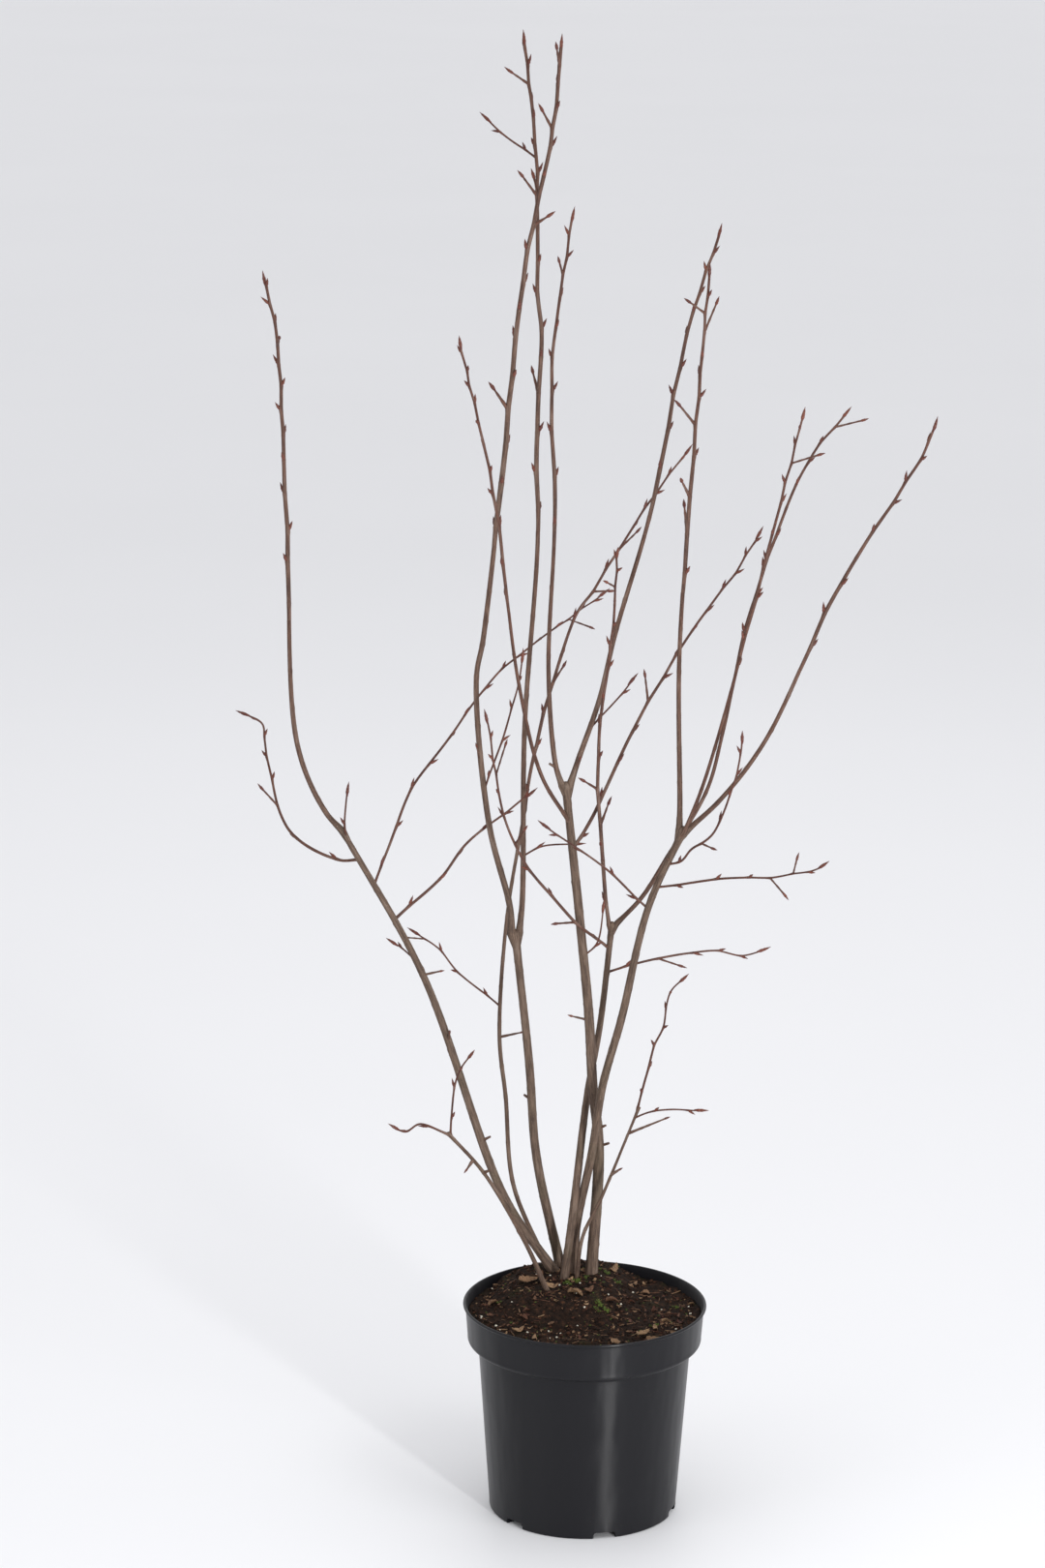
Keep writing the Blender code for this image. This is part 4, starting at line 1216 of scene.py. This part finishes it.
def soil_spot(chance, edge=LITTER_EDGE):
    """A random spot on the soil, even over its area, and its height in millimetres."""
    radius, turn = edge * math.sqrt(chance.random()), chance.uniform(0, math.tau)
    x, y = radius * math.cos(turn), radius * math.sin(turn)
    return x, y, soil_height(x, y) + crumbs(x, y)


def lay(x, y, z, turn, tip, size):
    """A matrix that turns a template, tips it and rests it on a spot given in millimetres."""
    place = Matrix.Translation((x * MM, y * MM, z * MM))
    return place @ Matrix.Rotation(turn, 4, "Z") @ Matrix.Rotation(tip, 4, "X") @ Matrix.Scale(size * MM, 4)


def scatter(chance, count, edge, kinds, small_share, small, large, rise, tip, fade):
    """Spots for loose litter, most of it small. rise is its height plus a share of its size."""
    spots = []
    for _ in range(count):
        x, y, z = soil_spot(chance, edge)
        size = chance.uniform(*small) if chance.random() < small_share else chance.uniform(*large)
        kind, turn, lean = chance.randrange(kinds), chance.uniform(0, 6.3), chance.uniform(-tip, tip)
        place = lay(x, y, z + rise[0] + size * rise[1], turn, lean, size)
        spots.append((kind, place, chance.random() ** fade))
    return spots


# %% Crumbs
CRUMB_COUNT = 1500
LUMP_KINDS = 5


def make_lump(seed):
    deselect()
    bpy.ops.mesh.primitive_ico_sphere_add(subdivisions=2, radius=0.5, location=(0, 0, 0))
    item = bpy.context.object
    for vertex in item.data.vertices:
        vertex.co *= 1 + 0.35 * noise.noise(vertex.co * 3.2 + Vector((seed, 0, 0)))
        vertex.co.z *= 0.7
    return template(item)


crumb = Finish("peat_crumb", 0.92, specular=0.12)
tone = crumb.own("tone", output="Fac")
grit = crumb.noise(crumb.place(), 800.0, 3.0)
crumb.link("Base Color", crumb.mix(grit.ramp(0.35, 0.65) * 0.6, crumb.mix(
    tone, rgb(0.006, 0.004, 0.003), rgb(0.075, 0.032, 0.018)), rgb(0.014, 0.008, 0.006)))
crumb.bump(grit, 0.0008)
lumps = [make_lump(seed) for seed in range(LUMP_KINDS)]
joined("soil_lumps", lumps, scatter(
    random.Random(21), CRUMB_COUNT, LITTER_EDGE, LUMP_KINDS, 0.85, (1.0, 2.4), (2.6, 4.6),
    rise=(0, 0.12), tip=0.5, fade=2), crumb)

# %% [markdown]
# Perlite is puffed volcanic glass: small white lumps. A few dozen lie scattered in any potting mix.

# %% Perlite
PERLITE_COUNT = 34

perlite = Finish("perlite", 0.8)
perlite.link("Base Color", perlite.mix(
    perlite.noise(perlite.place(), 900.0), rgb(0.45, 0.41, 0.32), rgb(0.74, 0.70, 0.60)))
perlite.bump(perlite.noise(perlite.place(), 1200.0), 0.0004)
chance = random.Random(33)
spots = []
for _ in range(PERLITE_COUNT):
    x, y, z = soil_spot(chance)
    size = chance.uniform(1.3, 2.8)
    spots.append((chance.randrange(LUMP_KINDS), lay(
        x, y, z + size * 0.25, chance.uniform(0, 6.3), 0.2, size), 0.5))
joined("perlite_grains", lumps, spots, perlite)


# %% [markdown]
# A dry leaf is a small oval sheet, folded along its rib and curled up at the ends. It is drawn as a
# grid that narrows to both tips, then bent in code, and given a hair of thickness.

# %% Dry leaves
def make_leaf(curl, fold, seed):
    deselect()
    bpy.ops.mesh.primitive_grid_add(x_subdivisions=10, y_subdivisions=6, size=1, location=(0, 0, 0))
    item = bpy.context.object
    for vertex in item.data.vertices:
        x, y = vertex.co.x, vertex.co.y
        ragged = 1 + 0.5 * noise.noise(Vector((x * 7, math.copysign(2, y), seed)))
        width = 0.40 * math.sqrt(max(0.0, 1 - (2 * x) ** 2)) * (1.1 - 0.7 * x) * ragged + 0.012
        vertex.co.y = y * width
        vertex.co.z = (curl * x * x + fold * abs(vertex.co.y)
                       + 0.08 * noise.noise(Vector((x * 4, y * 3, seed * 3.0))))
    skin = item.modifiers.new("thickness", "SOLIDIFY")
    skin.thickness = 0.015
    bake_modifiers(item)
    return template(item)


LEAF_COUNT = 280

leaf = Finish("dry_leaf", 0.7, specular=0.2)
tone = leaf.own("tone", output="Fac")
blot = leaf.noise(leaf.place(), 420.0, 4.0)
tan = leaf.mix(tone, rgb(0.070, 0.022, 0.014), rgb(0.300, 0.190, 0.105))
tan = leaf.mix(blot.ramp(0.45, 0.65) * 0.6, tan, rgb(0.035, 0.016, 0.011))
leaf.link("Base Color", tan)
leaf.bump(leaf.noise(leaf.place(), 1500.0, 2.0), 0.0003)
leaves = [make_leaf(0.6, 0.6, 1), make_leaf(-0.5, 0.9, 2), make_leaf(1.1, 0.3, 3), make_leaf(0.4, -0.7, 4)]
PLACED_LEAVES = (
    (-60, 40, 21, 0.3, 0.55), (-10, 6, 19, -0.5, 0.70), (4, 12, 15, 0.9, 0.30), (28, 4, 17, 0.15, 0.25),
    (-34, 24, 14, 0.0, 0.85), (32, 92, 20, 1.2, 0.70), (52, 74, 14, 0.8, 0.60), (-70, -62, 15, 0.6, 0.85),
    (-52, -80, 13, 1.6, 0.80), (60, -70, 20, 0.9, 0.80), (70, -86, 16, 0.2, 0.60), (30, -96, 18, 1.9, 0.7),
    (84, -30, 12, 0.4, 0.90), (-96, 10, 14, 0.7, 0.50), (-48, 62, 16, 1.1, 0.20),
)
chance = random.Random(55)
spots = []
for x, y, size, turn, light in PLACED_LEAVES:
    z = soil_height(x, y) + 2.2
    spots.append((chance.randrange(len(leaves)), lay(x, y, z, turn, chance.uniform(-0.4, 0.4), size), light))
spots += scatter(chance, LEAF_COUNT, 116.0, len(leaves), 0.75, (2.2, 5.5), (5.5, 11),
                 rise=(0.8, 0.05), tip=0.5, fade=1.4)
joined("dry_leaves", leaves, spots, leaf)


# %% [markdown]
# Bits of twig and bark fibre lie at all angles. A stick is a slim cylinder, cut across in three places
# so that it can bend.

# %% Sticks
FIBRE_COUNT = 340


def make_stick(bend):
    deselect()
    bpy.ops.mesh.primitive_cylinder_add(vertices=7, radius=0.035, depth=1, location=(0, 0, 0),
                                        rotation=(0, math.radians(90), 0))
    item = bpy.context.object
    settle(item)
    bpy.ops.object.mode_set(mode="EDIT")
    for cut in (0, 0.25, -0.25):
        whole_mesh()
        bpy.ops.mesh.bisect(plane_co=(cut, 0, 0), plane_no=(1, 0, 0))
    bpy.ops.object.mode_set(mode="OBJECT")
    for vertex in item.data.vertices:
        vertex.co.y += bend * (0.25 - vertex.co.x ** 2)
    return template(item)


sticks = [make_stick(0.0), make_stick(0.25), make_stick(-0.4)]
joined("bark_fibres", sticks, scatter(
    random.Random(71), FIBRE_COUNT, 114.0, len(sticks), 0.75, (3, 8), (8, 17),
    rise=(0.5, 0), tip=0.3, fade=2), leaf)


# %% [markdown]
# Moss grows in tufts on the damp crown: dozens of short blades that spread from one point.

# %% Moss
BLADES = 42
LOOSE_TUFTS = 90


def make_tuft(seed):
    chance = random.Random(seed)
    corners, sides = [], []
    for _ in range(BLADES):
        turn, lean, height = chance.uniform(0, math.tau), chance.uniform(0.1, 1.15), chance.uniform(0.35, 1.0)
        foot = np.array([chance.uniform(-0.35, 0.35), chance.uniform(-0.35, 0.35), -0.15])
        out = np.array([math.cos(turn) * math.sin(lean), math.sin(turn) * math.sin(lean), math.cos(lean)])
        flat = np.array([-math.sin(turn), math.cos(turn), 0.0]) * 0.07
        deep = np.cross(out, flat) * 0.5
        start = len(corners)
        mid, tip = foot + out * height * 0.55, foot + out * height + np.array([0, 0, -0.12 * lean])
        corners += [foot - flat, foot + flat, foot + deep, mid - flat, mid + flat, mid + deep, tip]
        sides += [(start, start + 2, start + 1)]
        for a, b in ((0, 1), (1, 2), (2, 0)):
            sides.append((start + a, start + b, start + 3 + b, start + 3 + a))
            sides.append((start + 3 + a, start + 3 + b, start + 6))
    return np.array(corners), sides


moss = Finish("moss", 0.75)
tone = moss.own("tone", output="Fac")
moss.link("Base Color", moss.mix(moss.noise(moss.place(), 500.0), moss.mix(
    tone, rgb(0.030, 0.075, 0.010), rgb(0.130, 0.210, 0.018)), rgb(0.110, 0.130, 0.022)))
moss.bump(moss.noise(moss.place(), 2200.0), 0.0002)
tufts = [make_tuft(seed) for seed in range(4)]
MOSS_SPOTS = (
    (-14, 42, 7.0, 0.9), (-8, 44, 6.0, 0.7), (-18, 38, 5.0, 0.6), (16, -10, 7.0, 0.6), (24, -14, 6.0, 0.8),
    (12, -18, 5.0, 0.4), (72, -40, 5.5, 0.5), (60, -60, 5.0, 0.4), (4, 58, 4.5, 0.3), (34, 62, 6.0, 0.2),
    (26, 74, 5.0, 0.3), (96, 14, 5.0, 0.6), (-50, 84, 5.0, 0.3), (-2, 82, 6.0, 0.2), (14, 84, 5.5, 0.2),
)
chance = random.Random(87)
spots = []
for x, y, size, light in MOSS_SPOTS:
    for _ in range(4):
        dx, dy = x + chance.uniform(-1, 1) * size * 0.7, y + chance.uniform(-1, 1) * size * 0.7
        z = soil_height(dx, dy) + crumbs(dx, dy)
        kind, turn = chance.randrange(len(tufts)), chance.uniform(0, 6.3)
        spots.append((kind, lay(dx, dy, z, turn, 0.0, size * chance.uniform(0.5, 0.9)),
                      min(1.0, light * chance.uniform(0.6, 1.3))))
for _ in range(LOOSE_TUFTS):
    x, y, z = soil_spot(chance, 112.0)
    kind, turn = chance.randrange(len(tufts)), chance.uniform(0, 6.3)
    spots.append((kind, lay(x, y, z, turn, 0.0, chance.uniform(1.2, 2.8)), chance.random() * 0.6))
joined("moss_tufts", tufts, spots, moss)
